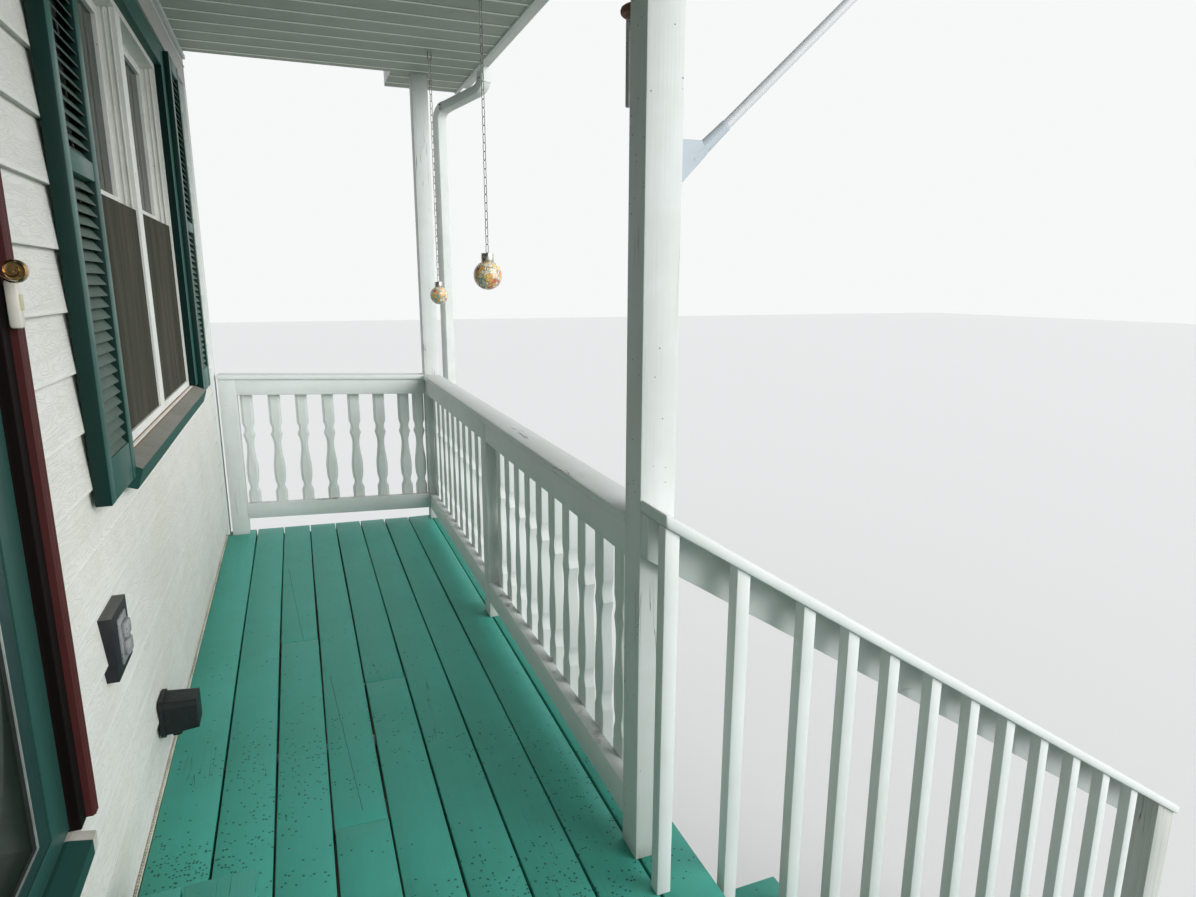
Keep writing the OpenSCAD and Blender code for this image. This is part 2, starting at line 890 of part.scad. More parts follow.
// Square pickets under the caps' inner edges: one stands on the deck, the others on the treads
module stair_picket(x, foot) {
    translate([0, picket - post, 0])
        rotate([90, 0, 0])
            linear_extrude(picket)
                polygon([[x, foot], [x + picket, foot],
                         [x + picket, cap_seat(x + picket)], [x, cap_seat(x)]]);
}

module stair_pickets() {
    n = floor((newel_x0 - picket - deck_x1 - picket_start) / picket_pitch);
    color([0.8, 0.82, 0.81])
        at_stair_sides() {
            stair_picket(post_x0 + 1, deck_top);
            for (k = [0:n]) {
                x = deck_x1 + picket_start + k * picket_pitch + (k < 3 ? picket_shift[k] : 0);
                stair_picket(x, tread_under(x));
            }
        }
}

// Sloping cap over the apron, the newel and the pickets, cut plumb at both ends
module stair_caps() {
    x0 = post_x0 - 1;
    long = (x_max - x0) / cos(slope_a) + 60;
    color([0.86, 0.87, 0.86])
        at_stair_sides()
            intersection() {
                translate([x0, plank, cap_top(x0)])
                    rotate([0, slope_a, 0])
                        translate([-30, 0, -cap_t])
                            rotate([90, 0, 90])
                                linear_extrude(long)
                                    mirror([1, 0, 0])
                                        cap_section(stair_cap_w, cap_t);
                block([x0, x_max], [-300, 300], [0, 9000]);
            }
}

// Stairs

stair_y0 = mid_stair_near + post + 6;
stair_y1 = mid_stair_far - 6;
tread_lip = 15;

// Back edge of a tread's first board, depth of the two boards, and the top of the highest tread beyond x
function tread_x(k) = deck_x1 - tread_lip + (k - 1) * tread_run;
tread_d = 2 * board_w + 5;
function tread_under(x) =
    let (k = ceil((x - tread_x(1) - tread_d) / tread_run) + 1)
    k > risers - 1 ? 0 : deck_top - k * riser_h;

// Notched board under the treads
module stringer_outline() {
    n = risers - 1;
    steps = [for (k = [0:n - 1]) for (s = [0, 1])
        [deck_x1 - tread_lip + (k + s) * tread_run, deck_top - (k + 1) * riser_h - board_t]];
    foot_x = deck_x1 - tread_lip + n * tread_run;
    polygon(concat(
        [[deck_x1 - tread_lip, deck_top - riser_h - board_t]],
        steps,
        [[foot_x, 0], [foot_x - 250, 0], [deck_x1 - tread_lip, deck_top - riser_h - 400]]));
}

module stair_stringers() {
    mid = (stair_y0 + stair_y1) / 2;
    color([0.75, 0.77, 0.75])
        for (y = [stair_y0 + plank + 20, mid + plank / 2, stair_y1 - 20])
            translate([0, y, 0])
                rotate([90, 0, 0])
                    linear_extrude(plank)
                        stringer_outline();
}

module stair_treads() {
    color([0.2, 0.5, 0.43])
        for (k = [1:risers - 1])
            for (s = [0, 1]) {
                x = tread_x(k) + s * (board_w + 5);
                z = deck_top - k * riser_h;
                block([x, x + board_w], [stair_y0, stair_y1], [z - board_t, z]);
            }
}

// Roof

module post_holes(z) {
    for (y = [near_post_y, mid_stair_near, mid_stair_far, far_post_y])
        block([post_x0, post_x1], [y, y + post], z);
}

module ceiling() {
    z = [ceil_z, ceil_z + ceil_t];
    color([0.72, 0.74, 0.71])
        difference() {
            union() {
                block([lap_t, soffit_x], [-ceil_end, ceil_end], z);
                block([soffit_x - return_w, soffit_x], [-roof_end + fascia_t, roof_end - fascia_t], z);
            }
            post_holes([ceil_z - 1, ceil_z + ceil_t + 1]);
        }
}

module header_beam() {
    color([0.6, 0.55, 0.45])
        along_y(-half_len, half_len)
            under_roof(post_x0, post_x1, ceil_z + ceil_t);
}

module under_roof(x0, x1, z0) {
    polygon([[x0, z0], [x1, z0], [x1, roof_seat(x1)], [x0, roof_seat(x0)]]);
}

module fascia() {
    color([0.8, 0.82, 0.8]) {
        along_y(-roof_end, roof_end)
            under_roof(soffit_x, fascia_x1, ceil_z - 8);
        for (side = [-1, 1])
            scale([1, side, 1]) {
                along_y(ceil_end - fascia_t, ceil_end)
                    under_roof(lap_t, soffit_x - return_w + fascia_t, ceil_z + ceil_t);
                along_y(ceil_end - fascia_t, roof_end - fascia_t)
                    under_roof(soffit_x - return_w, soffit_x - return_w + fascia_t, ceil_z + ceil_t);
                along_y(roof_end - fascia_t, roof_end)
                    under_roof(soffit_x - return_w, soffit_x + eps, ceil_z);
                along_y(roof_end - fascia_t, roof_end)
                    polygon([[-wall_t, roof_seat(-wall_t)], [soffit_x, roof_seat(soffit_x)],
                             [soffit_x, roof_seat(soffit_x) - 120], [-wall_t, roof_seat(-wall_t) - 120]]);
            }
    }
}

module roof() {
    color([0.3, 0.3, 0.3])
        along_y(-roof_end - 15, roof_end + 15)
            polygon([[-wall_t, roof_under(-wall_t)], [eave_x, roof_under(eave_x)],
                     [eave_x, roof_under(eave_x) + roof_t], [-wall_t, roof_under(-wall_t) + roof_t]]);
}

// Gutter: open trough on the fascia with a stepped front and closed ends
module gutter() {
    x0 = fascia_x1;
    z0 = ceil_z + 30;
    x1 = x0 + gutter_w;
    z1 = z0 + gutter_h;
    bead = z1 - 25;
    outer = [[x0, z0], [x1 - 40, z0], [x1 - 18, bead - 15], [x1, bead], [x1, z1]];
    inner = [[x1 - 10, z1], [x1 - 10, z1 - 3], [x1 - 4, z1 - 3], [x1 - 4, bead + 2], [x1 - 21, bead - 12],
             [x1 - 43, z0 + 4], [x0 + 4, z0 + 4], [x0 + 4, z1]];
    color([0.85, 0.86, 0.85]) {
        along_y(-roof_end, roof_end)
            polygon(concat(outer, inner, [[x0, z1]]));
        for (y = [-roof_end, roof_end - 3])
            along_y(y, y + 3)
                polygon(concat(outer, [[x0, z1]]));
    }
}

// Rectangle with rounded corners, its middle at the origin
module rounded_rectangle(w, d, r) {
    polygon([for (q = [0:3]) for (a = [0, 30, 60, 90])
        [(q == 0 || q == 3 ? 1 : -1) * (w / 2 - r) + r * cos(90 * q + a),
         (q < 2 ? 1 : -1) * (d / 2 - r) + r * sin(90 * q + a)]]);
}

// Stretch of pipe that runs down from the origin; size is its section
module spout_run(length, size) {
    translate([0, 0, -length])
        linear_extrude(length)
            rounded_rectangle(size[0], size[1], 12);
}

// Bend of a pipe that runs down: it turns by the angle a towards +X and carries its children on
module spout_bend(a, size) {
    translate([spout_r, 0, 0])
        rotate([90, 0, 0])
            rotate([0, 0, 180])
                rotate_extrude(angle = a)
                    translate([spout_r, 0])
                        rounded_rectangle(size[0], size[1], 12);
    translate([spout_r * (1 - cos(a)), 0, -spout_r * sin(a)])
        rotate([0, -a, 0])
            children();
}

// Downspout: outlet under the gutter, bent offset past the corner post, straight fall and kicked-out foot
module downspout() {
    top = [fascia_x1 + 45, half_len - 253, ceil_z + 30];
    fall = [post_x1 + 86, half_len + 48];
    side = norm([fall[0] - top[0], fall[1] - top[1]]);
    turn = atan2(fall[1] - top[1], fall[0] - top[0]);
    tilt = 55;
    neck = 45;
    run = (side - 2 * spout_r * (1 - cos(tilt))) / sin(tilt);
    size = [spout_d, spout_w];
    drop = top[2] - neck - 2 * spout_r * sin(tilt) - run * cos(tilt) - 150;
    color([0.85, 0.86, 0.85])
        translate(top)
            rotate([0, 0, turn]) {
                spout_run(neck, size);
                translate([0, 0, -neck])
                    spout_bend(tilt, size) {
                        union() {
                            spout_run(run, size);
                            translate([0, 0, -run])
                                mirror([1, 0, 0])
                                    spout_bend(tilt, size)
                                        rotate([0, 0, -90])
                                            spout_foot(drop);
                        }
                    }
            }
}

// Straight fall with an elbow and a short toe at its foot
module spout_foot(drop) {
    size = [spout_w, spout_d];
    spout_run(drop, size);
    translate([0, 0, -drop])
        spout_bend(55, size)
            spout_run(60, size);
}

// Fittings

module outlet_block() {
    y = [149, 306];
    z = [deck_top + 555, deck_top + 710];
    bevel = 12;
    mid = (y[0] + y[1]) / 2;
    cover = [z[0] + 22, z[0] + 134];
    color([0.17, 0.18, 0.2])
        hull() {
            block([lap_t, lap_t + 6], y, z);
            block([lap_t, 31], [y[0] + bevel, y[1] - bevel], [z[0] + bevel, z[1] - bevel]);
        }
    color([0.45, 0.46, 0.47]) {
        block([31 - eps, 36], [mid - 36, mid + 36], cover);
        for (lid = [cover[0] + 34, cover[1] - 34])
            translate([36 - eps, mid, lid])
                rotate([0, 90, 0])
                    cylinder(r1 = 21, r2 = 18, h = 16);
    }
}

module weather_box() {
    side = 100;
    flange = 12;
    color([0.08, 0.1, 0.1])
        translate([lap_t, 640, deck_top + 202])
            rotate([90, 0, 90]) {
                linear_extrude(flange)
                    rounded_rectangle(side + 14, side + 14, 20);
                hull() {
                    translate([0, 0, flange - 1])
                        linear_extrude(1)
                            rounded_rectangle(side + 4, side + 4, 16);
                    translate([0, 0, side - 6])
                        linear_extrude(5)
                            rounded_rectangle(side - 10, side - 10, 12);
                }
                translate([0, -side / 2 + 4, 34])
                    rotate([90, 0, 0])
                        cylinder(r = 14, h = 26);
            }
}

module doorbell() {
    color([0.85, 0.83, 0.78])
        block([mould_x1, mould_x1 + 10], [door_far + 3, door_far + 28], [deck_top + 1377, deck_top + 1457]);
}

// Flag pole held at a slant in a plate and socket on the stair post
module flag_pole() {
    socket = 125;
    color([0.85, 0.87, 0.9])
        translate([post_x1, mid_stair_far + post / 2, deck_top + 1706]) {
            translate([0, -24, -62])
                cube([5, 48, 124]);
            intersection() {
                hull() {
                    translate([4, -14, -54])
                        cube([1, 28, 92]);
                    rotate([0, 90 - pole_tilt, 0])
                        translate([0, 0, 40])
                            cylinder(r = pole_r + 2, h = 20);
                }
                translate([4, -50, -100])
                    cube([300, 100, 300]);
            }
            rotate([0, 90 - pole_tilt, 0]) {
                translate([0, 0, 44])
                    cylinder(r1 = pole_r + 5, r2 = pole_r + 4, h = socket - 44);
                translate([0, 0, 60])
                    cylinder(r = pole_r, h = pole_len);
                translate([0, 0, pole_len + 65])
                    sphere(r = pole_r + 6);
            }
        }
}

// Globe lantern hung on a chain from the ceiling, at a distance back from the corner post
module lantern(x, back, drop, r) {
    translate([x, far_post_y - back, ceil_z - drop - r]) {
        sphere(r = r);
        translate([0, 0, r - 6])
            cylinder(r = 0.4 * r, h = 22);
        translate([0, 0, r + 10])
            cylinder(r = 3, h = drop - 10);
    }
}

module lanterns() {
    color([0.8, 0.6, 0.4]) {
        lantern(post_x1 - 6, lantern_back, lantern_drop, lantern_r);
        lantern(post_x0 + 30, lantern2_back, lantern2_drop, lantern2_r);
    }
}

// Wind chime: a wooden disc on a cord, with tubes hung in a ring under it
module wind_chime() {
    disc_t = 18;
    tube_r = 7;
    tubes = 5;
    color([0.6, 0.55, 0.5])
        translate([post_x1 - 30, mid_stair_far + post + chime_r + 32, ceil_z - chime_drop]) {
            cylinder(r = 2, h = chime_drop);
            translate([0, 0, -disc_t])
                cylinder(r = chime_r, h = disc_t);
            for (k = [0:tubes - 1])
                rotate([0, 0, 360 * k / tubes + 140])
                    translate([chime_r - tube_r - 12, 0, -disc_t]) {
                        translate([0, 0, -6])
                            cylinder(r = 1.5, h = 7);
                        translate([0, 0, -5 - chime_tube])
                            cylinder(r = tube_r, h = chime_tube);
                    }
        }
}

// Everything sits with the middle of its base at the origin
module placed() {
    translate([-mid_x, 0, 0])
        children();
}

placed() foundation();
placed() wall_far();
placed() wall_near();
placed() wall_over_door();
placed() wall_under_door();
placed() frieze_board();
placed() corner_boards();
placed() window_casing();
placed() window_sill();
placed() window_frame();
placed() window_glass();
placed() window_screens();
placed() shutters();
placed() door_moulding();
placed() door_jambs();
placed() storm_door();
placed() door_glass();
placed() door_lever();
placed() hinge_pins();
placed() deck_boards();
placed() deck_rims();
placed() deck_joists();
placed() deck_beam();
placed() deck_piers();
placed() door_step();
placed() roof_posts();
placed() mid_post();
placed() wall_posts();
placed() front_panel_corner();
placed() front_panel_stairs();
placed() front_panel_near();
placed() end_panel_far();
placed() end_panel_near();
placed() level_caps();
placed() stair_rails();
placed() stair_newels();
placed() stair_pickets();
placed() stair_caps();
placed() stair_stringers();
placed() stair_treads();
placed() ceiling();
placed() fascia();
placed() header_beam();
placed() roof();
placed() gutter();
placed() downspout();
placed() outlet_block();
placed() weather_box();
placed() doorbell();
placed() flag_pole();
placed() lanterns();
placed() wind_chime();
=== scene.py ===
import math

import bmesh
import bpy
import numpy as np
from mathutils import Matrix, Vector


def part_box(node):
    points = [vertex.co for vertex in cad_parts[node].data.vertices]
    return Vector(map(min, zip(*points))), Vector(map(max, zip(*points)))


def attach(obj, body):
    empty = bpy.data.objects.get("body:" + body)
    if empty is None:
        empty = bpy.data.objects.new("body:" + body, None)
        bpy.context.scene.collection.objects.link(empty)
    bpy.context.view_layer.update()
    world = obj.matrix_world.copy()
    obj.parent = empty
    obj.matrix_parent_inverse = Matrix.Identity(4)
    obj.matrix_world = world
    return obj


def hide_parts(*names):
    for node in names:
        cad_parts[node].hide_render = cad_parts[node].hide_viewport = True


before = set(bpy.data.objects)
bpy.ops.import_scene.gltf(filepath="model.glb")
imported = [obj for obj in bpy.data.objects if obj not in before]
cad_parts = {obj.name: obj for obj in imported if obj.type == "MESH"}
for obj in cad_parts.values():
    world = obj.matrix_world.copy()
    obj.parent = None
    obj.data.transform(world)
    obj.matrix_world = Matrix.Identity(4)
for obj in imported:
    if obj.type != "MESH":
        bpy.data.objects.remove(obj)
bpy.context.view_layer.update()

bl_info = {
    "name": "Front porch looks",
    "version": (1, 0, 0),
    "blender": (4, 5, 0),
    "location": "View3D > Sidebar > Porch",
    "description": "Dresses the packed front porch: eased boards, sawn balusters, paint, stain and fittings",
    "category": "Object",
}

PORCH, DOOR = "porch", "storm_door"


def low(node):
    """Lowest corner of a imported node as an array."""
    return np.array(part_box(node)[0])


def high(node):
    """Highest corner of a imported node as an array."""
    return np.array(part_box(node)[1])


# Places that several pieces share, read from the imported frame
WALL = low("deck_rims")[0]
DECK = low("roof_posts")[2]
DECK_EDGE, DECK_PITCH = high("deck_boards")[0], 0.1464
FLAT = DECK_EDGE - 2 * DECK_PITCH
POST_IN, POST_OUT = low("roof_posts")[0], high("roof_posts")[0]
POST = POST_OUT - POST_IN
HALF = high("deck_boards")[1]
CEILING = low("ceiling")[2]
DOOR_FACE = WALL - 0.002

# Thickness of the boards, heights of the level rails over the deck, slopes, and the shingles' exposure
BOARD = 0.038
APRON_LOW, CAP_LOW, CAP_TOP = 0.799, 0.888, 0.914
BOTTOM_LOW, BOTTOM_TOP = 0.075, 0.164
DECK_FALL, END_FALL, STAIR_SLOPE = 0.025, 0.04, 178 / 280
EXPOSURE = 0.1344

DOOR_GREEN = (0.022, 0.080, 0.068)
UP = np.array([0, 0, 1.0])


def deck_rise(x):
    """Height of the deck's top over its outer edge: it climbs towards the wall from FLAT on."""
    return np.maximum(0, FLAT - x) * DECK_FALL


class PorchSizes(bpy.types.PropertyGroup):
    """Sizes of the dressed pieces that the solids leave open."""

    eased_edge: bpy.props.FloatProperty(
        name="Eased edge", description="Rounding of the boards' edges", default=0.0025,
        min=0.0005, max=0.006, unit="LENGTH")
    deck_drift: bpy.props.FloatProperty(
        name="Board drift", description="How far a deck board strays from a straight line", default=0.0011,
        min=0.0, max=0.003, unit="LENGTH")
    baluster_width: bpy.props.FloatProperty(
        name="Baluster width", description="Width of a sawn baluster", default=0.065, unit="LENGTH")
    baluster_pitch: bpy.props.FloatProperty(
        name="Baluster pitch", description="Spacing of the sawn balusters", default=0.1457, unit="LENGTH")
    groove_pitch: bpy.props.FloatProperty(
        name="Ceiling pitch", description="Spacing of the ceiling's grooves", default=0.152, unit="LENGTH")
    slats: bpy.props.IntProperty(
        name="Slats", description="Slats in one louvre panel", default=24, min=10, max=30)
    link_pitch: bpy.props.FloatProperty(
        name="Chain link", description="Inner length of a chain link", default=0.036, unit="LENGTH")


class PorchColours(bpy.types.PropertyGroup):
    """Colours of the paints, stain and fittings."""

    def colour(name, what, value):
        return bpy.props.FloatVectorProperty(
            name=name, description=what, subtype="COLOR", size=3, min=0, max=1, default=value)

    white: colour("White", "Paint of the posts and rails", (0.70, 0.725, 0.715))
    siding: colour("Siding", "Paint of the lapped courses", (0.72, 0.715, 0.68))
    stain: colour("Deck stain", "Stain of the deck and the treads", (0.068, 0.42, 0.335))
    green: colour("Shutter green", "Paint of the shutters and the casing", (0.014, 0.088, 0.068))
    red: colour("Moulding red", "Paint round the door", (0.078, 0.019, 0.018))
    ceiling: colour("Ceiling", "Paint of the grooved ceiling", (0.42, 0.455, 0.40))
    bare: colour("Bare wood", "Weathered framing", (0.30, 0.25, 0.18))
    shingle: colour("Shingle", "Roof courses", (0.085, 0.085, 0.09))


def sizes():
    return bpy.context.scene.porch_sizes


def colours():
    return bpy.context.scene.porch_colours


def dim(paint, share, plus=0.0):
    """A colour times a number, or times one number per channel, plus a number."""
    return tuple((np.multiply(paint, share) + plus).tolist())


# Nodes

class Net:
    """Short way to place and wire shader nodes in one tree."""

    def __init__(self, tree):
        self.tree = tree

    def give(self, socket, value):
        """Links a socket to another node's output, or sets it to a constant."""
        if isinstance(value, bpy.types.NodeSocket):
            self.tree.links.new(value, socket)
        elif socket.type == "RGBA":
            socket.default_value = (*value[:3], 1.0)
        else:
            socket.default_value = value

    def add(self, kind, ins=(), **props):
        node = self.tree.nodes.new("ShaderNode" + kind)
        for key, value in props.items():
            setattr(node, key, value)
        for key, value in dict(ins).items():
            self.give(node.inputs[key], value)
        return node

    def math(self, operation, a, b=0.0, clamp=False):
        return self.add("Math", {0: a, 1: b}, operation=operation, use_clamp=clamp).outputs[0]

    def mul(self, a, *others):
        for b in others:
            a = self.math("MULTIPLY", a, b)
        return a

    def plus(self, a, b, clamp=False):
        return self.math("ADD", a, b, clamp)

    def minus(self, a, b):
        return self.math("SUBTRACT", a, b)

    def off(self, value, middle):
        """Distance of a value from a middle."""
        return self.math("ABSOLUTE", self.minus(value, middle))

    def between(self, value, a, b):
        return self.mul(self.math("GREATER_THAN", value, a), self.math("LESS_THAN", value, b))

    def period(self, value, start, step):
        """Place of a value within its step, from 0 to 1."""
        return self.math("FRACT", self.math("DIVIDE", self.minus(value, start), step))

    def noise(self, vector, scale, detail=2.0, rough=0.5, distort=0.0):
        return self.add("TexNoise", {"Vector": vector, "Scale": scale, "Detail": detail, "Roughness": rough,
                                     "Distortion": distort}).outputs["Fac"]

    def span(self, value, a, b, c=0.0, d=1.0, smooth=True):
        return self.add("MapRange", {"Value": value, "From Min": a, "From Max": b, "To Min": c, "To Max": d},
                        interpolation_type="SMOOTHSTEP" if smooth else "LINEAR").outputs["Result"]

    def mix(self, factor, a, b, blend="MIX"):
        return self.add("Mix", {0: factor, 6: a, 7: b}, data_type="RGBA", blend_type=blend).outputs[2]

    def over(self, tint, mask, coat, share):
        """A coat laid on a tint where the mask is, as thick as the share."""
        return self.mix(self.mul(mask, share), tint, coat)

    def scaled(self, vector, by):
        return self.add("VectorMath", {0: vector, 1: by}, operation="MULTIPLY").outputs[0]

    def part(self, vector, k):
        return self.add("SeparateXYZ", {0: vector}).outputs[k]

    def plain(self):
        """Object coordinates, which are the frame's own metres."""
        return self.add("TexCoord").outputs["Object"]

    def at(self, k):
        return self.part(self.plain(), k)

    def facing(self, k):
        return self.part(self.add("NewGeometry").outputs["Normal"], k)

    def side_faces(self):
        """1 on faces that look along the wall, 0 on those that look out from it: the mask for painted shade on those
        faces.
        """
        along = self.part(self.add("TexCoord").outputs["Normal"], 1)
        return self.span(self.math("ABSOLUTE", along), 0.6, 0.9)

    def smudge(self, scale):
        return self.add("Group", {"Vector": self.plain(), "Scale": scale}, node_tree=smudge_group()).outputs[0]

    def grains(self, scale, size, amount):
        return self.add("Group", {"Vector": self.plain(), "Scale": scale, "Size": size, "Amount": amount},
                        node_tree=speckle_group()).outputs[0]

    def wood(self, vector, fibre, checks):
        """Streak, fibre and check of the wood grain along the vector's X."""
        return self.add("Group", {"Vector": vector, "Fibre size": fibre, "Checks": checks},
                        node_tree=wood_grain_group()).outputs[:3]

    def turned(self, axis):
        """Object coordinates with the chosen axis first."""
        turn = {"X": (0, 0, 0), "Y": (0, 0, -math.pi / 2), "Z": (0, math.pi / 2, 0)}[axis]
        return self.add("Mapping", {"Vector": self.plain(), "Rotation": turn}).outputs[0]

    def seen(self):
        """1 for what the camera, a mirror or glass sees, 0 for light that falls on the object."""
        rays = self.add("LightPath").outputs
        total = self.plus(rays["Is Camera Ray"], rays["Is Glossy Ray"])
        return self.plus(total, rays["Is Transmission Ray"], clamp=True)

    def own(self):
        """Each board's own random number."""
        return self.add("Attribute", attribute_name="board").outputs["Fac"]


def node_group(name, ins, outs):
    """Makes a shader node group once: the wrapped function turns its inputs (vector or number) into its outputs."""
    def wrap(wire):
        def get():
            if name in bpy.data.node_groups:
                return bpy.data.node_groups[name]
            tree = bpy.data.node_groups.new(name, "ShaderNodeTree")
            for label, value in ins:
                kind = "Vector" if value is None else "Float"
                socket = tree.interface.new_socket(name=label, in_out="INPUT", socket_type="NodeSocket" + kind)
                if value is not None:
                    socket.default_value = value
            for label in outs:
                tree.interface.new_socket(name=label, in_out="OUTPUT", socket_type="NodeSocketFloat")
            start, end = tree.nodes.new("NodeGroupInput"), tree.nodes.new("NodeGroupOutput")
            for label, value in zip(outs, wire(Net(tree), *start.outputs[:len(ins)])):
                tree.links.new(value, end.inputs[label])
            return tree
        return get
    return wrap


@node_group("wood_grain", (("Vector", None), ("Fibre size", 1.0), ("Checks", 0.5)), ("Streak", "Fibre", "Check"))
def wood_grain_group(net, vector, size, checks):
    """Grain that runs along the vector's X: broad streaks, fine fibres and thin checks."""
    def stretched(x, yz):
        return net.scaled(vector, (x, yz, yz))

    streak = net.noise(stretched(1.1, 24.0), 1.0, 4.0, 0.55, 0.6)
    fine = net.add("VectorMath", {0: stretched(9.0, 420.0), "Scale": size}, operation="SCALE").outputs[0]
    fibre = net.noise(fine, 1.0, 3.0, 0.6)
    thread = net.noise(stretched(1.3, 42.0), 1.0, 2.0, 0.5, 0.25)
    line = net.span(net.off(thread, 0.5), 0.0, 0.008, 1.0, 0.0, smooth=False)
    edge = net.minus(0.78, net.mul(checks, 0.3))
    where = net.math("MULTIPLY", net.minus(net.noise(stretched(1.9, 7.0), 1.0, 1.0), edge), 14.0, clamp=True)
    return streak, fibre, net.math("MULTIPLY", line, where, clamp=True)


@node_group("speckle", (("Vector", None), ("Scale", 120.0), ("Size", 0.16), ("Amount", 0.5)), ("Mask",))
def speckle_group(net, vector, scale, size, amount):
    """Scattered grains of dirt: cells smaller than a size, thinned by a slow noise."""
    cells = net.add("TexVoronoi", {"Vector": vector, "Scale": scale})
    dot = net.math("LESS_THAN", cells.outputs["Distance"], size)
    chance = net.add("SeparateColor", {0: cells.outputs["Color"]}).outputs[0]
    share = net.mul(net.span(net.noise(vector, 2.6, 3.0, 0.6), 0.35, 0.75), amount)
    return net.mul(dot, net.math("LESS_THAN", chance, share)),


@node_group("smudge", (("Vector", None), ("Scale", 3.0)), ("Mask",))
def smudge_group(net, vector, scale):
    """Soft uneven dirt: two noises added and stretched to the full range."""
    wide = net.add("VectorMath", {0: vector, "Scale": 5.3}, operation="SCALE").outputs[0]
    a, b = net.noise(vector, scale, 4.0, 0.6), net.noise(wide, scale, 3.0, 0.6)
    return net.span(net.plus(net.mul(a, 0.65), net.mul(b, 0.35)), 0.36, 0.66),


MATERIALS = {}


def surface(name, paint):
    """Material made once; paint(net) gives the Principled shader's inputs, Bump as (height, strength, distance)."""
    if name in MATERIALS:
        return MATERIALS[name]
    made = MATERIALS[name] = bpy.data.materials.new(name)
    made.use_nodes = True
    net = Net(made.node_tree)
    shader = made.node_tree.nodes["Principled BSDF"]
    for key, value in paint(net).items():
        if key == "Bump":
            height, strength, distance = value
            bump = net.add("Bump", {"Height": height, "Strength": strength, "Distance": distance})
            net.give(shader.inputs["Normal"], bump.outputs[0])
        else:
            net.give(shader.inputs[key], value)
    return made


def finish(name):
    """Turns paint(net) into a function that gives the finished material of that name."""
    def wrap(paint):
        return lambda: surface(name, paint)
    return wrap


def principled(tint, rough, specular=None, bump=None, **more):
    """Inputs of the Principled shader as surface() takes them."""
    ins = {"Base Color": tint, "Roughness": rough, **more}
    if specular is not None:
        ins["Specular IOR Level"] = specular
    if bump:
        ins["Bump"] = bump
    return ins


def painted_wood(name, paint, axis, rough=0.6, checks=0.35, relief=0.5, dark=0.55, tone=0.06, fibre=1.0,
                 dirt=0.12, speck=0.0, low_dirt=None, dents=0.0, marks=None, specular=0.22, sides=1.0):
    """Brushed paint on sawn wood: colour dimmed by streaks and dirt, checks nearly black, fibres in relief.

    dents are small dark holes and knots; marks, a function of the net, gives a darker mask; sides below 1 darkens the
    faces that look along the wall as painted shade.
    """
    def coat(net):
        own = net.own()
        move = net.add("CombineXYZ", {0: net.mul(own, 37.0), 1: net.mul(own, 19.0), 2: own}).outputs[0]
        vector = net.add("VectorMath", {0: net.turned(axis), 1: move}, operation="ADD").outputs[0]
        streak, threads, check = net.wood(vector, fibre, checks)
        tint = net.mix(streak, dim(paint, 1 - tone * 2.2), paint)
        tint = net.over(tint, own, dim(paint, 1 - tone * 1.6), tone * 5)
        tint = net.over(tint, net.smudge(2.4), dim(paint, (0.62, 0.60, 0.52)), dirt)
        if low_dirt:
            foot = net.mul(net.span(net.at(2), *low_dirt, 1.0, 0.0), net.mul(threads, 0.9))
            tint = net.mix(foot, tint, dim(paint, (0.45, 0.44, 0.36)))
        if speck:
            tint = net.mix(net.grains(95.0, 0.17, speck), tint, dim(paint, 0.12, 0.01))
        tint = net.over(tint, check, dim(paint, (1 - dark) * 0.25), 0.9)
        if dents:
            tint = net.mix(net.grains(9.0, 0.034, dents), tint, dim(paint, 0.08, 0.02))
        if marks:
            tint = net.mix(marks(net), tint, dim(paint, 0.07))
        # Painted shade: faces that look along the wall are dimmed to sides times the paint.
        if sides < 1:
            tint = net.mix(net.side_faces(), tint, dim(paint, sides))
        height = net.minus(net.plus(net.mul(threads, 0.35), net.mul(streak, 0.8)), net.mul(check, 1.6))
        return principled(tint, net.plus(rough - 0.06, net.mul(streak, 0.12)), specular, (height, relief, 0.0012))

    return surface(name, coat)


def plain_finish(name, paint, rough=0.5, metallic=0.0, mottle=0.12, scale=30.0, bump=0.05, coat=0.0, speck=0.0,
                 specular=0.3, sides=1.0):
    """Moulded or painted surface: mottled colour, uneven gloss and a fine relief; sides below 1 darkens the faces that
    look along the wall as painted shade.
    """
    def layers(net):
        smudge = net.smudge(scale / 6)
        tint = net.mix(smudge, paint, dim(paint, 1 - mottle * 2))
        if speck:
            tint = net.mix(net.grains(110.0, 0.2, speck), tint, (0.05, 0.045, 0.035))
        # Painted shade: faces that look along the wall are dimmed to sides times the paint.
        if sides < 1:
            tint = net.mix(net.side_faces(), tint, dim(paint, sides))
        fine = net.noise(net.plain(), scale * 14, 3.0, 0.6)
        return principled(tint, net.plus(rough - 0.05, net.mul(smudge, 0.12)), specular, (fine, bump * 4, 0.0006),
                      **{"Metallic": metallic, "Coat Weight": coat})

    return surface(name, layers)


def white_wood(axis):
    return painted_wood("white_paint_" + axis.lower(), colours().white, axis, checks=0.3, relief=0.45, tone=0.035,
                        dirt=0.16, dents=0.1, marks=rail_top_darkening)


def rail_top_darkening(net):
    """Darker patches where a noise is high, on faces that look up in a band 155 to 215 mm over the deck, where the
    bottom rails' tops lie.
    """
    band = net.between(net.at(2), DECK + 0.155, DECK + 0.215)
    patch = net.span(net.noise(net.plain(), 13.0, 3.0, 0.6), 0.54, 0.72)
    return net.mul(band, patch, net.span(net.facing(2), 0.6, 0.9), 0.6)


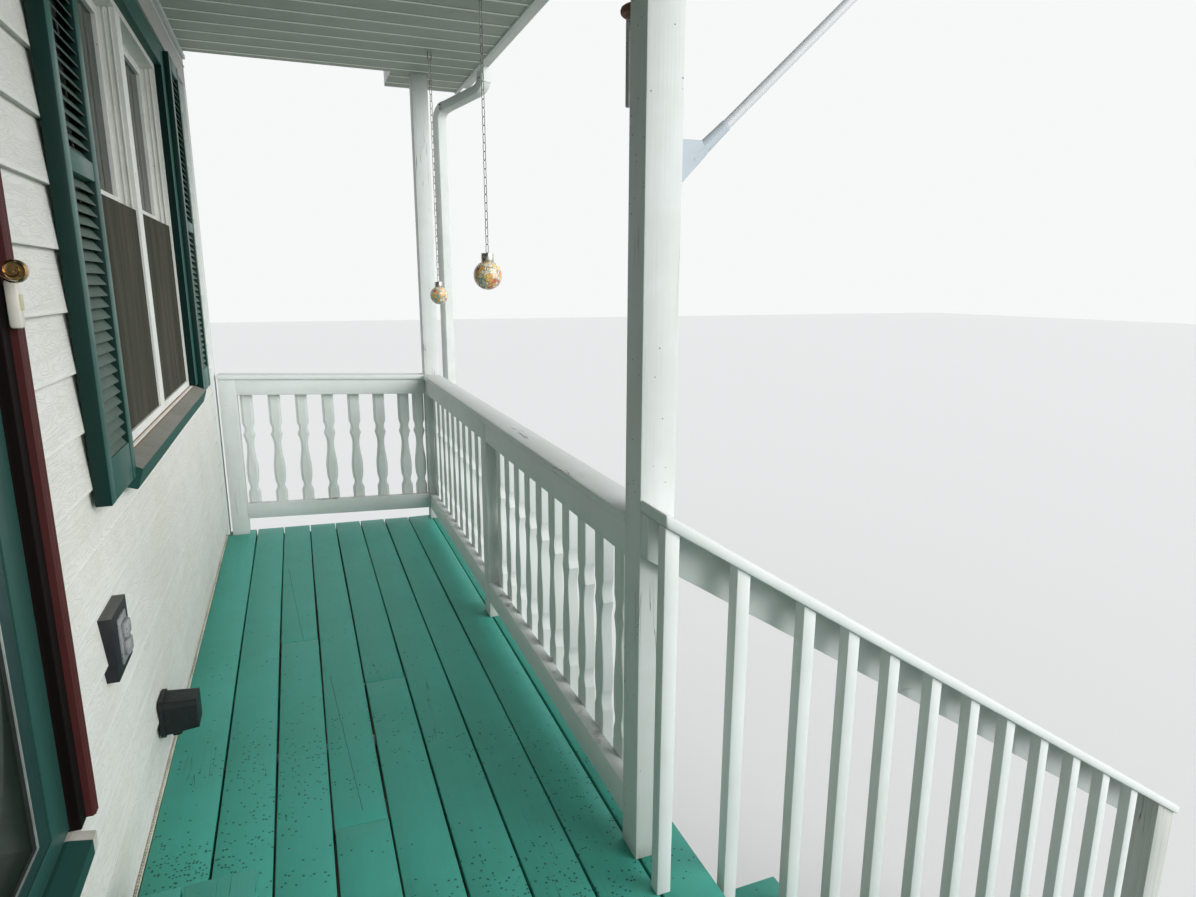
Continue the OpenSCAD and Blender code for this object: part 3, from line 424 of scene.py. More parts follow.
def deck_marks(net):
    """Two long shrinkage cracks that wander across a board, and grit that thickens towards the door and the wall."""
    x, y = net.at(0), net.at(1)
    waver = net.mul(net.minus(net.noise(net.plain(), 9.0, 3.0, 0.6), 0.5), 0.010)
    masks = []
    for x0, y0, x1, y1 in ((0.343, 2.296, 0.402, 1.415), (0.492, 1.060, 0.541, 0.241)):
        course = net.plus(net.mul(net.minus(y, y0), (x1 - x0) / (y1 - y0)), WALL + x0)
        line = net.plus(net.minus(x, course), waver)
        thin = net.math("LESS_THAN", net.math("ABSOLUTE", line), 0.0009)
        masks.append(net.mul(thin, net.between(y, y1, y0)))
    cracks = net.mul(net.plus(*masks, clamp=True), 0.8)
    amount = net.mul(net.span(y, 1.1, -0.75), net.span(x, WALL + 0.75, WALL + 0.05, 0.25, 1.0), 0.95)
    grit = net.grains(120.0, 0.40, net.plus(0.03, amount))
    both = net.plus(net.mul(grit, 0.75), net.grains(60.0, 0.17, 0.09), clamp=True)
    return net.math("MAXIMUM", cracks, both)


@finish("siding")
def siding_finish(net):
    """Embossed lap siding: long wavering grain lines in relief, cream paint, a painted shade line along each course's
    lower edge and a painted highlight just above it.

    The place within a course is the fraction of (height above the first course) / (height of a course).
    """
    paint, course = colours().siding, 0.1317
    field = net.noise(net.scaled(net.plain(), (4.0, 2.2, 21.0)), 1.0, 3.0, 0.5, 0.9)
    rings = net.math("FRACT", net.mul(field, 21.0))
    ridge = net.span(net.off(rings, 0.5), 0.02, 0.2)
    smudge = net.smudge(1.7)
    tint = net.mix(smudge, paint, dim(paint, (0.93, 0.92, 0.88)))
    tint = net.over(tint, net.minus(1.0, ridge), dim(paint, 0.55), 0.19)
    place = net.period(net.at(2), DECK + 0.073 - 10 * course, course)
    # Painted shade: a grey green line along each course's lower edge, where the butt's shadow falls.
    under = net.math("MAXIMUM", net.span(place, 0.93, 1.0), net.span(place, 0.012, 0.0))
    tint = net.over(tint, under, dim(paint, (0.42, 0.44, 0.40)), 0.42)
    # Painted highlight: a lighter band on the rounded butt just above that edge.
    lip = net.mul(net.span(place, 0.012, 0.03), net.span(place, 0.10, 0.05))
    tint = net.over(tint, lip, np.minimum(1.0, dim(paint, 1.12)), 0.35)
    foot = net.mul(net.span(net.at(2), DECK + 0.26, DECK + 0.05), net.span(smudge, 0.2, 0.9))
    tint = net.over(tint, foot, dim(paint, (0.62, 0.58, 0.48)), 0.12)
    tint = net.mix(net.grains(60.0, 0.12, 0.12), tint, (0.14, 0.13, 0.10))
    return principled(tint, 0.65, 0.25, (ridge, 0.5, 0.0010))


@finish("pane")
def dark_glass(net):
    """Window pane over a dark room: a nearly black base, painted shade that stands in for the unlit room behind, under
    a weak clear reflection, with faint dust.
    """
    tint = net.over((0.007, 0.014, 0.009), net.smudge(4.0), (0.030, 0.045, 0.026), 0.3)
    return principled(tint, 0.05, **{"IOR": 1.18, "Transmission Weight": 0.15})


@finish("screen")
def screen_finish(net):
    """Woven insect screen: crossed threads every 1.4 mm, dusty grey brown."""
    threads = []
    for k in (1, 2):
        wave = net.math("FRACT", net.mul(net.at(k), 700.0))
        threads.append(net.span(net.off(wave, 0.5), 0.18, 0.3))
    weave = net.math("MAXIMUM", *threads)
    streak = net.noise(net.scaled(net.plain(), (1.0, 9.0, 0.8)), 1.6, 4.0, 0.65)
    dust = net.mix(net.span(streak, 0.35, 0.7), (0.052, 0.051, 0.037), (0.090, 0.088, 0.068))
    return principled(net.mix(weave, (0.030, 0.028, 0.024), dust), 0.9, 0.05, (weave, 0.3, 0.0003))


@finish("mosaic")
def mosaic_finish(net):
    """Glass chips set in grout: cells coloured by their own number, a groove between them."""
    chips = ((0.0, (0.75, 0.60, 0.40)), (0.22, (0.80, 0.36, 0.07)), (0.38, (0.72, 0.68, 0.55)),
             (0.54, (0.55, 0.13, 0.08)), (0.66, (0.70, 0.62, 0.42)), (0.80, (0.16, 0.42, 0.34)),
             (0.88, (0.78, 0.50, 0.12)))
    cells, gap = (net.add("TexVoronoi", {"Vector": net.plain(), "Scale": 62.0, "Randomness": 0.55}, feature=kind)
                  for kind in ("F1", "DISTANCE_TO_EDGE"))
    seam = net.span(gap.outputs["Distance"], 0.035, 0.075)
    ramp = net.add("ValToRGB", {"Fac": net.add("SeparateColor", {0: cells.outputs["Color"]}).outputs[0]})
    ramp.color_ramp.interpolation = "CONSTANT"
    stops = ramp.color_ramp.elements
    for k, (position, chip) in enumerate(chips):
        stop = stops[k] if k < 2 else stops.new(position)
        stop.position, stop.color = position, (*chip, 1)
    tint = net.mix(seam, (0.30, 0.27, 0.22), ramp.outputs["Color"])
    return principled(tint, 0.18, bump=(seam, 0.8, 0.0012), **{"Coat Weight": 0.4})


@finish("shingles")
def shingle_finish(net):
    """Granule-faced shingles: tabs of differing tone with dark slots, grains in relief."""
    course = net.math("FLOOR", net.math("DIVIDE", net.at(0), EXPOSURE))
    along = net.plus(net.math("DIVIDE", net.at(1), 0.305), net.mul(net.math("MODULO", course, 2.0), 0.5))
    cell = net.add("CombineXYZ", {0: course, 1: net.math("FLOOR", along)}).outputs[0]
    tone = net.add("TexWhiteNoise", {"Vector": cell}).outputs["Value"]
    slot = net.span(net.off(net.math("FRACT", along), 0.5), 0.485, 0.495)
    grit = net.noise(net.plain(), 420.0, 2.0, 0.7)
    base = colours().shingle
    tint = net.mix(net.mul(net.plus(tone, grit), 0.5), dim(base, 0.6), dim(base, 1.7))
    tint = net.mix(slot, tint, (0.012, 0.012, 0.012))
    return principled(tint, 0.9, bump=(net.minus(net.mul(grit, 0.4), slot), 0.7, 0.002))


@finish("sill_paint")
def sill_finish(net):
    """Green paint on the sill's edge, worn to grey brown dust on top, with a rusty line beside the frame; a darker
    green is painted shade on the faces that look along the wall.
    """
    streak, threads, _ = net.wood(net.turned("Y"), 0.8, 0.6)
    smudge = net.smudge(5.0)
    dust = net.mix(smudge, (0.25, 0.235, 0.20), (0.165, 0.155, 0.13))
    dust = net.mix(streak, dust, (0.21, 0.215, 0.19))
    dust = net.mix(net.grains(80.0, 0.2, 0.3), dust, (0.03, 0.025, 0.02))
    dust = net.over(dust, net.span(net.at(0), WALL + 0.019, WALL + 0.0145), (0.22, 0.105, 0.05), 0.75)
    edge = net.mix(smudge, (0.018, 0.085, 0.068), (0.028, 0.085, 0.070))
    tint = net.mix(net.span(net.facing(2), 0.5, 0.8), edge, dust)
    # Painted shade: darker green on the faces that look along the wall.
    tint = net.mix(net.side_faces(), tint, (0.012, 0.060, 0.048))
    return principled(tint, 0.75, 0.2, (threads, 0.5, 0.001))


@finish("slat_vinyl")
def slat_finish(net):
    """Chalky grey green on the slats' outer halves, fading to nearly black painted shade on their inner halves,
    towards the wall.
    """
    chalk = net.mix(net.smudge(6.0), (0.088, 0.125, 0.105), (0.068, 0.098, 0.083))
    middle = (low("shutters")[0] + high("shutters")[0]) / 2
    # Painted shade: the slats' inner halves fade to nearly black.
    tint = net.mix(net.span(net.at(0), middle - 0.004, middle - 0.009), chalk, (0.005, 0.018, 0.015))
    tint = net.mix(net.grains(120.0, 0.2, 0.25), tint, (0.03, 0.03, 0.025))
    return principled(tint, 0.7, 0.2, (net.noise(net.plain(), 300.0, 3.0, 0.6), 0.15, 0.0004))


@finish("jamb_paint")
def jamb_finish(net):
    """Near-black paint on the jambs; on the sill under the leaf green, and weathered cream past its open edge."""
    smudge = net.smudge(7.0)
    cream = net.mix(smudge, (0.60, 0.585, 0.53), (0.46, 0.44, 0.38))
    cream = net.mix(net.grains(70.0, 0.18, 0.3), cream, (0.06, 0.05, 0.04))
    black = net.mix(smudge, (0.006, 0.004, 0.0035), (0.010, 0.006, 0.005))
    edge = high("storm_door")[1]
    tread = net.mix(net.span(net.at(1), edge - 0.024, edge - 0.021), dim(DOOR_GREEN, 0.85), cream)
    tint = net.mix(net.math("LESS_THAN", net.at(2), low("door_jambs")[2] + 0.0381), black, tread)
    return principled(tint, 0.6, 0.08, (net.noise(net.plain(), 240.0, 3.0, 0.6), 0.2, 0.0005))


@finish("ceiling_paint")
def ceiling_finish(net):
    """Factory paint with grime, a painted highlight on each raised band and painted shade in each groove.

    The place within a board is the fraction of (y + a hundred boards) / pitch.
    """
    paint, boards = colours().ceiling, 15.2
    place = net.math("FRACT", net.math("DIVIDE", net.plus(net.at(1), boards), sizes().groove_pitch))
    tint = net.mix(net.smudge(2.0), paint, dim(paint, (0.86, 0.88, 0.84)))
    # Painted highlight on the raised band beside each groove.
    tint = net.over(tint, net.between(place, 0.030, 0.155), np.minimum(0.95, dim(paint, 2.2)), 0.95)
    # Painted shade in each groove.
    tint = net.over(tint, net.math("LESS_THAN", place, 0.018), dim(paint, 0.25), 0.25)
    tint = net.mix(net.grains(60.0, 0.1, 0.08), tint, (0.05, 0.045, 0.04))
    return principled(tint, 0.6, 0.25, (net.noise(net.plain(), 260.0, 3.0, 0.6), 0.1, 0.0005))


@finish("outlet_plastic")
def outlet_finish(net):
    """Dark block with a lighter cover: the finish changes where the plate stands proud of the block."""
    smudge = net.smudge(12.0)
    block = net.mix(smudge, (0.010, 0.011, 0.014), (0.018, 0.019, 0.021))
    block = net.mix(net.span(net.facing(2), 0.5, 0.8), block, (0.10, 0.098, 0.088))
    cover = net.mix(smudge, (0.30, 0.305, 0.31), (0.19, 0.195, 0.20))
    proud = net.math("GREATER_THAN", net.at(0), low("outlet_block")[0] + 0.0182)
    tint = net.mix(net.grains(140.0, 0.2, 0.4), net.mix(proud, block, cover), (0.02, 0.018, 0.015))
    return principled(tint, 0.55, 0.3, (net.noise(net.plain(), 600.0, 2.0, 0.6), 0.3, 0.0004))


@finish("floor")
def floor_finish(net):
    """Pale ground for the camera and darker for the light, with a nearly black painted shadow under the deck."""
    beside = net.math("ABSOLUTE", net.at(1))
    # Painted shadow: the ground under the deck's footprint fades to nearly black.
    under = net.mul(net.span(net.at(0), DECK_EDGE - 0.02, DECK_EDGE - 0.35), net.span(beside, HALF, HALF - 0.5))
    pale = net.mix(under, (0.80, 0.80, 0.79), (0.035, 0.035, 0.03))
    return principled(net.mix(net.seen(), (0.34, 0.35, 0.33), pale), 0.9)


# Meshes

def stacked(*axes):
    """Points from their coordinates, which may have any shapes that fit together."""
    return np.stack(np.broadcast_arrays(*axes), -1)


def tubes_to_faces(count, rows, columns):
    """Faces of several closed tubes stored one after another, row by row, with a cap at each end."""
    one = grid_faces(rows, columns)
    starts = np.arange(count) * rows * columns
    first = np.arange(columns)[::-1][None] + starts[:, None]
    last = np.arange(columns)[None] + (rows - 1) * columns + starts[:, None]
    return (one[None] + starts[:, None, None]).reshape(-1, 4).tolist() + first.tolist() + last.tolist()


def grid_faces(rows, columns, ring=False):
    """Quads of a grid of points whose columns wrap round; in a ring the rows do too."""
    r, c = np.meshgrid(np.arange(rows if ring else rows - 1), np.arange(columns), indexing="ij")
    r2, c2 = (r + 1) % rows, (c + 1) % columns
    quads = np.stack([r * columns + c, r * columns + c2, r2 * columns + c2, r2 * columns + c], -1)
    return quads.reshape(-1, 4)


def merge(parts):
    """Points and faces of several parts as one; a part is a grid (rows, columns) of closed tubes, or such a pair."""
    points, faces, start = [], [], 0
    for part in parts:
        if not isinstance(part, tuple):
            rows, columns = part.shape[-3:-1]
            part = part, tubes_to_faces(part.size // (3 * rows * columns), rows, columns)
        p = np.asarray(part[0], float).reshape(-1, 3)
        points.append(p)
        faces += [[i + start for i in face] for face in part[1]]
        start += len(p)
    return np.concatenate(points), faces


def add_piece(name, parts, material, node=None, slot=None, body=PORCH, board=None, smooth=35):
    """Object from a list of parts, riding on a body; it replaces the node if one is given, and slot is not used."""
    points, faces = merge(parts)
    mesh = bpy.data.meshes.new(name)
    mesh.from_pydata(points.tolist(), [], faces)
    mesh.update()
    piece = bpy.data.objects.new(name, mesh)
    bpy.context.scene.collection.objects.link(piece)
    mesh.materials.append(material)
    if smooth:
        mesh.shade_smooth()
        mesh.set_sharp_from_angle(angle=math.radians(smooth))
    if board is not None:
        layer = mesh.attributes.new("board", "FLOAT", "POINT")
        layer.data.foreach_set("value", np.asarray(board, np.float32).ravel())
    replaces, slot = (node,) if node else (), slot or node
    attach(piece, body)
    if replaces:
        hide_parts(*replaces)
    turn_out(mesh)
    return piece


def turn_out(mesh):
    """Makes the faces of closed pieces point outwards."""
    bm = bmesh.new()
    bm.from_mesh(mesh)
    bmesh.ops.recalc_face_normals(bm, faces=bm.faces)
    bm.to_mesh(mesh)
    bm.free()


ARC = np.radians(np.arange(0, 91, 45))
CORNER = np.array([(1, 1), (-1, 1), (-1, -1), (1, -1)])
SECTION_SIGN = np.repeat(CORNER, 3, axis=0)
SECTION_ARC = np.concatenate([np.stack([np.cos(ARC + k * math.pi / 2), np.sin(ARC + k * math.pi / 2)], -1)
                              for k in range(4)])


def plank_points(lo, hi, axis, ease=None, cuts=2, drift=0.0, seed=3):
    """Boards with eased edges: centre + (half size - r) * corner + k r * arc, carried along one axis.

    k falls to 0.3 over the last r of each end, and the centre strays by drift * a slow sine of its own phase.
    Returns points (board, station, 12, 3) and one random number per board.
    """
    lo, hi = np.atleast_2d(lo).astype(float), np.atleast_2d(hi).astype(float)
    r = ease if ease is not None else sizes().eased_edge
    rng = np.random.default_rng(seed)
    a, b = [(1, 2), (2, 0), (0, 1)][axis]
    inner = np.linspace(0, 1, cuts)[None]
    start, stop = lo[:, axis, None] + r, hi[:, axis, None] - r
    head = lo[:, axis, None] + r * np.array([[0, 0.3]])
    tail = hi[:, axis, None] - r * np.array([[0.3, 0]])
    t = np.concatenate([head, start + (stop - start) * inner, tail], 1)
    k = np.concatenate([[0.3, 0.75], np.ones(cuts), [0.75, 0.3]])
    out = np.empty((*t.shape, 12, 3))
    out[..., axis] = t[:, :, None]
    for j, c in enumerate((a, b)):
        phase, waves = rng.uniform(0, 6.28, (len(lo), 1)), rng.uniform(0.25, 0.6, (len(lo), 1))
        stray = drift * np.sin(6.28 * waves * t + phase) * (1.0 if c < 2 else 0.15)
        half = (hi[:, c] - lo[:, c])[:, None, None] / 2 - r
        out[..., c] = ((lo[:, c] + hi[:, c])[:, None, None] / 2 + stray[:, :, None]
                       + half * SECTION_SIGN[None, None, :, j] + r * k[None, :, None] * SECTION_ARC[None, None, :, j])
    return out, rng.random(len(lo))


def planks(name, lo, hi, axis, material, node=None, slot=None, body=PORCH, bend=None, **how):
    """One piece made of boards; bend is a function that moves the finished points."""
    points, own = plank_points(lo, hi, axis, **how)
    if bend is not None:
        points = bend(points)
    board = np.repeat(own, points.shape[1] * 12)
    return add_piece(name, [points], material, node, slot, body, board)


def raised(rise):
    """A bend that moves points up by a function of them."""
    def bend(points):
        points[..., 2] += rise(points)
        return points
    return bend


def solids_of(node):
    """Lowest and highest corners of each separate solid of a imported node, found by joining equal corners.

    Corners in the same cell of 1/20 mm are one; each label is the least one that a chain of triangles reaches.
    """
    cells, passes = 20000, 400
    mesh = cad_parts[node].data
    co = np.empty(len(mesh.vertices) * 3)
    mesh.vertices.foreach_get("co", co)
    co = co.reshape(-1, 3)
    keys, same = np.unique(np.round(co * cells).astype(int), axis=0, return_inverse=True)
    same = same.ravel()
    loops = np.empty(len(mesh.loops), int)
    mesh.loops.foreach_get("vertex_index", loops)
    tris = same[loops.reshape(-1, 3)]
    label = np.arange(len(keys))
    for _ in range(passes):
        new = label.copy()
        for k in range(3):
            np.minimum.at(new, tris[:, k], label[tris].min(1))
        if (new == label).all():
            break
        label = new
    own = label[same]
    names = np.unique(own)
    return np.array([co[own == n].min(0) for n in names]), np.array([co[own == n].max(0) for n in names])


def closed_strip(grid):
    """Faces of a strip with points (end, layer, place): both layers, both ends and both short sides."""
    n = grid.shape[2]
    (a, c), (b, d) = np.arange(4 * n).reshape(2, 2, n)
    quads = []
    for p, q in ((a, b), (d, c), (c, a), (b, d)):
        quads += np.stack([p[:-1], q[:-1], q[1:], p[1:]], -1).tolist()
    return grid, quads + [[a[0], c[0], d[0], b[0]], [a[-1], b[-1], d[-1], c[-1]]]


def dress(node, material):
    """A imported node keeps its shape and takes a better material."""
    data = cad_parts[node].data
    data.materials.clear()
    data.materials.append(material)


def revolve(profile, centre=(0, 0, 0), turns=32):
    """Rings of a profile (radius, height) turned about a vertical axis through centre."""
    profile = np.asarray(profile, float)
    angle = np.linspace(0, 2 * math.pi, turns, endpoint=False)
    r, z = profile[:, 0, None], profile[:, 1, None]
    return np.stack([centre[0] + r * np.cos(angle), centre[1] + r * np.sin(angle),
                     centre[2] + z + 0 * angle], -1)


def sweep(path, section, up=UP):
    """A closed section (u, v) carried along a path: point = path + u * side + v * top at each station."""
    path = np.asarray(path, float)
    ahead = np.gradient(path, axis=0)
    ahead /= np.linalg.norm(ahead, axis=1, keepdims=True)
    side = np.cross(ahead, np.asarray(up, float))
    side /= np.linalg.norm(side, axis=1, keepdims=True)
    top = np.cross(side, ahead)
    return path[:, None] + section[None, :, :1] * side[:, None] + section[None, :, 1:] * top[:, None]


def bent_line(legs, r, cuts=9):
    """Line (out, up) of straight legs (length, angle from the drop), joined by arcs of radius r.

    On an arc: out = way * r * (cos a0 - cos a), up = way * r * (sin a0 - sin a), way being the sign of the turn.
    """
    at = np.zeros(2)
    line = [at]
    for k, (leg, angle) in enumerate(legs):
        at = at + leg * np.array([math.sin(angle), -math.cos(angle)])
        line.append(at)
        if k + 1 < len(legs):
            a = np.linspace(angle, legs[k + 1][1], cuts)[1:]
            way = np.sign(a[-1] - angle)
            arc = at + way * r * np.stack([math.cos(angle) - np.cos(a), math.sin(angle) - np.sin(a)], -1)
            line += list(arc)
            at = arc[-1]
    return np.array(line)


class PieceOperator:
    """Shared body of the operators: build, or raise what went wrong."""

    bl_options = {"REGISTER"}

    def execute(self, context):
        self.build()
        return {"FINISHED"}


class PORCH_OT_deck(PieceOperator, bpy.types.Operator):
    """Deck boards, framing, door step and piers"""

    bl_idname = "porch.deck"
    bl_label = "Deck"

    def build(self):
        stain = painted_wood("deck_stain", colours().stain, "Y", rough=0.5, checks=0.45, relief=0.6, dark=0.75,
                             tone=0.10, dirt=0.30, speck=0.05, fibre=0.7, marks=deck_marks, specular=0.3)
        bare = {axis: painted_wood("bare_wood_" + axis.lower(), colours().bare, axis, rough=0.8, checks=0.7,
                                   relief=0.8, tone=0.12, dirt=0.3) for axis in "XYZ"}
        under, foot = DECK - BOARD, low("deck_joists")[2]
        lo, hi = solids_of("deck_boards")
        lo[:, 2], hi[:, 2] = under, DECK
        planks("deck_planks", lo, hi, 1, stain, "deck_boards", cuts=40, drift=sizes().deck_drift, ease=0.0035,
               seed=11, bend=raised(lambda p: deck_rise(p[..., 0])))
        planks("rim_planks", *solids_of("deck_rims"), 1, bare["Y"], "deck_rims", seed=12)
        lo, hi = solids_of("deck_joists")
        hi[:, 2] = under
        planks("joist_planks", lo, hi, 0, bare["X"], "deck_joists", seed=13, cuts=16,
               bend=raised(lambda p: (p[..., 2] - foot) / (under - foot) * (deck_rise(p[..., 0]) - 0.0008)))
        planks("pier_posts", *solids_of("deck_piers"), 2, bare["Z"], "deck_piers", seed=14, ease=0.004)
        dress("deck_beam", bare["Y"])
        self.step(stain)
        self.wall_strip()

    def step(self, stain):
        """Two boards over a box of four, whose feet follow the deck: rise = share * (deck_rise - box foot)."""
        lo, hi = low("door_step"), high("door_step")
        lip, gap = 0.015, 0.0064
        half, top = (hi[0] - lo[0] - gap) / 2, hi[2] - BOARD
        a, b = lo + (0, lip, 0), hi - (lip, lip, BOARD)
        lo, hi = np.swapaxes([
            [(lo[0], lo[1], top), (lo[0] + half, hi[1], hi[2])],
            [(lo[0] + half + gap, lo[1], top), hi],
            [(b[0] - BOARD, a[1], a[2]), b],
            [a, (b[0] - BOARD, a[1] + BOARD, b[2])],
            [(a[0], b[1] - BOARD, a[2]), (b[0] - BOARD, b[1], b[2])],
            [(a[0], a[1] + BOARD, a[2]), (a[0] + BOARD, b[1] - BOARD, b[2])]], 0, 1)

        def footed(p):
            share = np.clip((b[2] - p[..., 2]) / (b[2] - a[2]), 0, 1)
            return share * (deck_rise(p[..., 0]) - (a[2] - DECK))

        planks("step_planks", lo, hi, 1, stain, "door_step", ease=0.003, seed=15, bend=raised(footed))

    def wall_strip(self):
        """Cream drip edge in the gap beside the wall: a rounded lip, and teeth 7 mm long every 12 mm behind it."""
        top = DECK + deck_rise(WALL + 0.016)
        edge = np.array([(0.0125, -0.006), (0.0152, -0.006), (0.0152, 0.0012), (0.0145, 0.002), (0.0132, 0.002),
                         (0.0125, 0.0012)])
        lip = stacked(WALL + edge[:, 0], [[-HALF + 0.002], [HALF - 0.002]], top + edge[:, 1])
        tooth = np.array([(0.0079, -0.006), (0.0126, -0.006), (0.0126, 0.0006), (0.0079, 0.0006)])
        y = np.arange(-HALF + 0.006, HALF - 0.014, 0.012)[:, None, None] + [[0], [0.007]]
        teeth = stacked(WALL + tooth[:, 0], y, top + tooth[:, 1])
        cream = plain_finish("drip_edge", (0.84, 0.80, 0.66), rough=0.5, mottle=0.2, speck=0.3)
        add_piece("wall_drip_edge", [lip, teeth], cream, slot="deck_boards", smooth=None)


class PORCH_OT_posts(PieceOperator, bpy.types.Operator):
    """Roof posts and rail posts"""

    bl_idname = "porch.posts"
    bl_label = "Posts"

    def build(self):
        white = painted_wood("post_paint", colours().white, "Z", checks=0.6, relief=0.9, tone=0.07,
                             dirt=0.22, dark=0.5, fibre=0.5, low_dirt=(DECK, DECK + 0.05), speck=0.05, dents=0.3)
        how = {"ease": 0.003, "cuts": 12, "drift": 0.0006}
        planks("roof_posts_eased", *solids_of("roof_posts"), 2, white, "roof_posts", seed=21, **how)
        planks("mid_post_eased", *solids_of("mid_post"), 2, white, "mid_post", seed=22, **how)
        lo, hi = solids_of("wall_posts")
        foot, head, front = lo[0, 2], hi[0, 2], hi[0, 0]
        hi[:, 2] -= (front - lo[0, 0]) * END_FALL

        def slanted(p):
            """The feet follow the deck, and the heads the end caps."""
            share = np.clip((p[..., 2] - foot) / (head - foot), 0, 1)
            return (front - p[..., 0]) * (share * END_FALL + (1 - share) * DECK_FALL)

        planks("wall_posts_eased", lo, hi, 2, white, "wall_posts", seed=23, bend=raised(slanted), **how)


def half_width(z):
    """Half width of a sawn baluster at heights z above the deck, as in the solid: square ends, coves, a waist."""
    half, waist, cove, neck = sizes().baluster_width / 2, 0.013, 0.009, 0.004
    t = (z - BOTTOM_TOP) / (APRON_LOW - BOTTOM_TOP)
    cases = [(t > 0.735) | (t < 0.093), t > 0.63, t > 0.528, t > 0.293, t > 0.192]
    shapes = [half + 0 * t,
              half - cove * np.sin(math.pi * (t - 0.63) / 0.105),
              half - waist * np.sin(math.pi / 2 * (0.63 - t) / 0.102),
              half - waist * (1 + np.cos(math.pi * (0.528 - t) / 0.235)) / 2,
              half - neck * ((0.293 - t) / 0.101) ** 2]
    last = half - neck * (t - 0.093) / 0.099 - cove * np.sin(math.pi * (t - 0.093) / 0.099)
    return np.select(cases, shapes, last)


def baluster_points(centres, seed):
    """Sawn balusters: at height z the section is the board's outline at half_width(z) with a stepped inner margin.

    Local u runs across the face and v from the outer face inwards. centres is (count,) along u.
    """
    bottom, step, margin, r = 0.081, 0.004, 0.010, 0.0018
    breaks = BOTTOM_TOP + (APRON_LOW - BOTTOM_TOP) * np.array([0.093, 0.192, 0.293, 0.528, 0.63, 0.735])
    z = np.unique(np.concatenate([[bottom, bottom + 0.002], breaks, breaks - 0.0004,
                                  np.linspace(breaks[0], breaks[-1], 44), [CAP_LOW]]))
    inset = np.array([r, 0, 0, r, margin - 0.002, margin, margin + r])
    depth = np.array([0, r, BOARD - step - r, BOARD - step, BOARD - step + 0.0006, BOARD - r, BOARD])
    right = half_width(z)[:, None] - inset
    u, v = np.concatenate([right, -right[:, ::-1]], 1), np.concatenate([depth, depth[::-1]])
    rng = np.random.default_rng(seed)
    size = 1 + rng.normal(0, 0.006, len(centres))
    out = stacked(centres[:, None, None] + u * size[:, None, None], v, z[:, None])
    return out, rng.random(len(centres))


def level_panel(node, place, span, squeezed, seed):
    """Apron, bottom rail and balusters of one panel; place takes (u, v, z) of the row to the frame.

    The squeezed end panels climb towards the wall: a rail's point by (span - u) * fall, a baluster as a whole.
    """
    pitch, half = sizes().baluster_pitch, sizes().baluster_width / 2
    start = 0.012 + half
    n = int((span - start - half) / pitch + (0.001 if squeezed else 0)) + 1
    centres = start + pitch * np.arange(n)
    if squeezed:
        centres = np.append(centres, span - start + 0.003)
    sawn, own = baluster_points(centres, seed)
    sawn[..., 1] = 2 * BOARD - sawn[..., 1]
    rail, rail_own = plank_points([(0, 0, APRON_LOW), (0, 0, BOTTOM_LOW)],
                                  [(span, BOARD, CAP_LOW), (span, BOARD, BOTTOM_TOP)], 0, cuts=8, drift=0.0005,
                                  seed=seed)
    if squeezed:
        rail[..., 2] += (span - rail[..., 0]) * END_FALL - 0.00003
        sawn[..., 2] += (span - centres - half)[:, None, None] * END_FALL - 0.0003
    board = [np.repeat(number, p[0, ..., 0].size) for number, p in ((own, sawn), (rail_own, rail))]
    piece = add_piece(node + "_sawn", [place(sawn), place(rail)], white_wood("Z"), node,
                      board=np.concatenate(board))
    piece.data.materials.append(white_wood("X" if squeezed else "Y"))
    slots = np.zeros(len(piece.data.polygons), int)
    slots[len(tubes_to_faces(*sawn.shape[:3])):] = 1
    piece.data.polygons.foreach_set("material_index", slots)


class PORCH_OT_level_rails(PieceOperator, bpy.types.Operator):
    """Level rails with sawn balusters and their caps"""

    bl_idname = "porch.level_rails"
    bl_label = "Level rails"

    def build(self):
        for k, node in enumerate(("front_panel_corner", "front_panel_stairs", "front_panel_near")):
            lo, hi = low(node), high(node)
            level_panel(node, lambda p: stacked(POST_IN + p[..., 1], hi[1] - p[..., 0], DECK + p[..., 2]),
                        hi[1] - lo[1], False, 31 + k)
        for k, node in enumerate(("end_panel_far", "end_panel_near")):
            lo, hi = low(node), high(node)
            outer, way = ((lo[1], 1), (hi[1], -1))[k]
            level_panel(node, lambda p: stacked(lo[0] + p[..., 0], outer + way * p[..., 1], DECK + p[..., 2]),
                        hi[0] - lo[0], True, 36 + k)
        wide, gap = 0.102, 0.0006
        ends, fronts = [], []
        for a, b in zip(*solids_of("level_caps")):
            far = b[1] > 0
            end = (b[1] - wide, b[1]) if far else (a[1], a[1] + wide)
            front = (a[1], end[0] - gap) if far else (end[1] + gap, b[1])
            ends.append([(a[0], end[0], DECK + CAP_LOW), (POST_IN - 0.0005, end[1], DECK + CAP_TOP)])
            fronts.append([(b[0] - wide, front[0], DECK + CAP_LOW), (b[0], front[1], DECK + CAP_TOP)])
        climb = raised(lambda p: (POST_IN - p[..., 0]) * END_FALL)
        for name, boxes, axis, node, bend, seed in (("end_caps_eased", ends, 0, "level_caps", climb, 6),
                                                    ("front_caps_eased", fronts, 1, None, None, 8)):
            planks(name, *np.swapaxes(boxes, 0, 1), axis, white_wood("XY"[axis]), node, "level_caps", bend=bend,
                   ease=0.006, cuts=14, drift=0.0005, seed=seed)


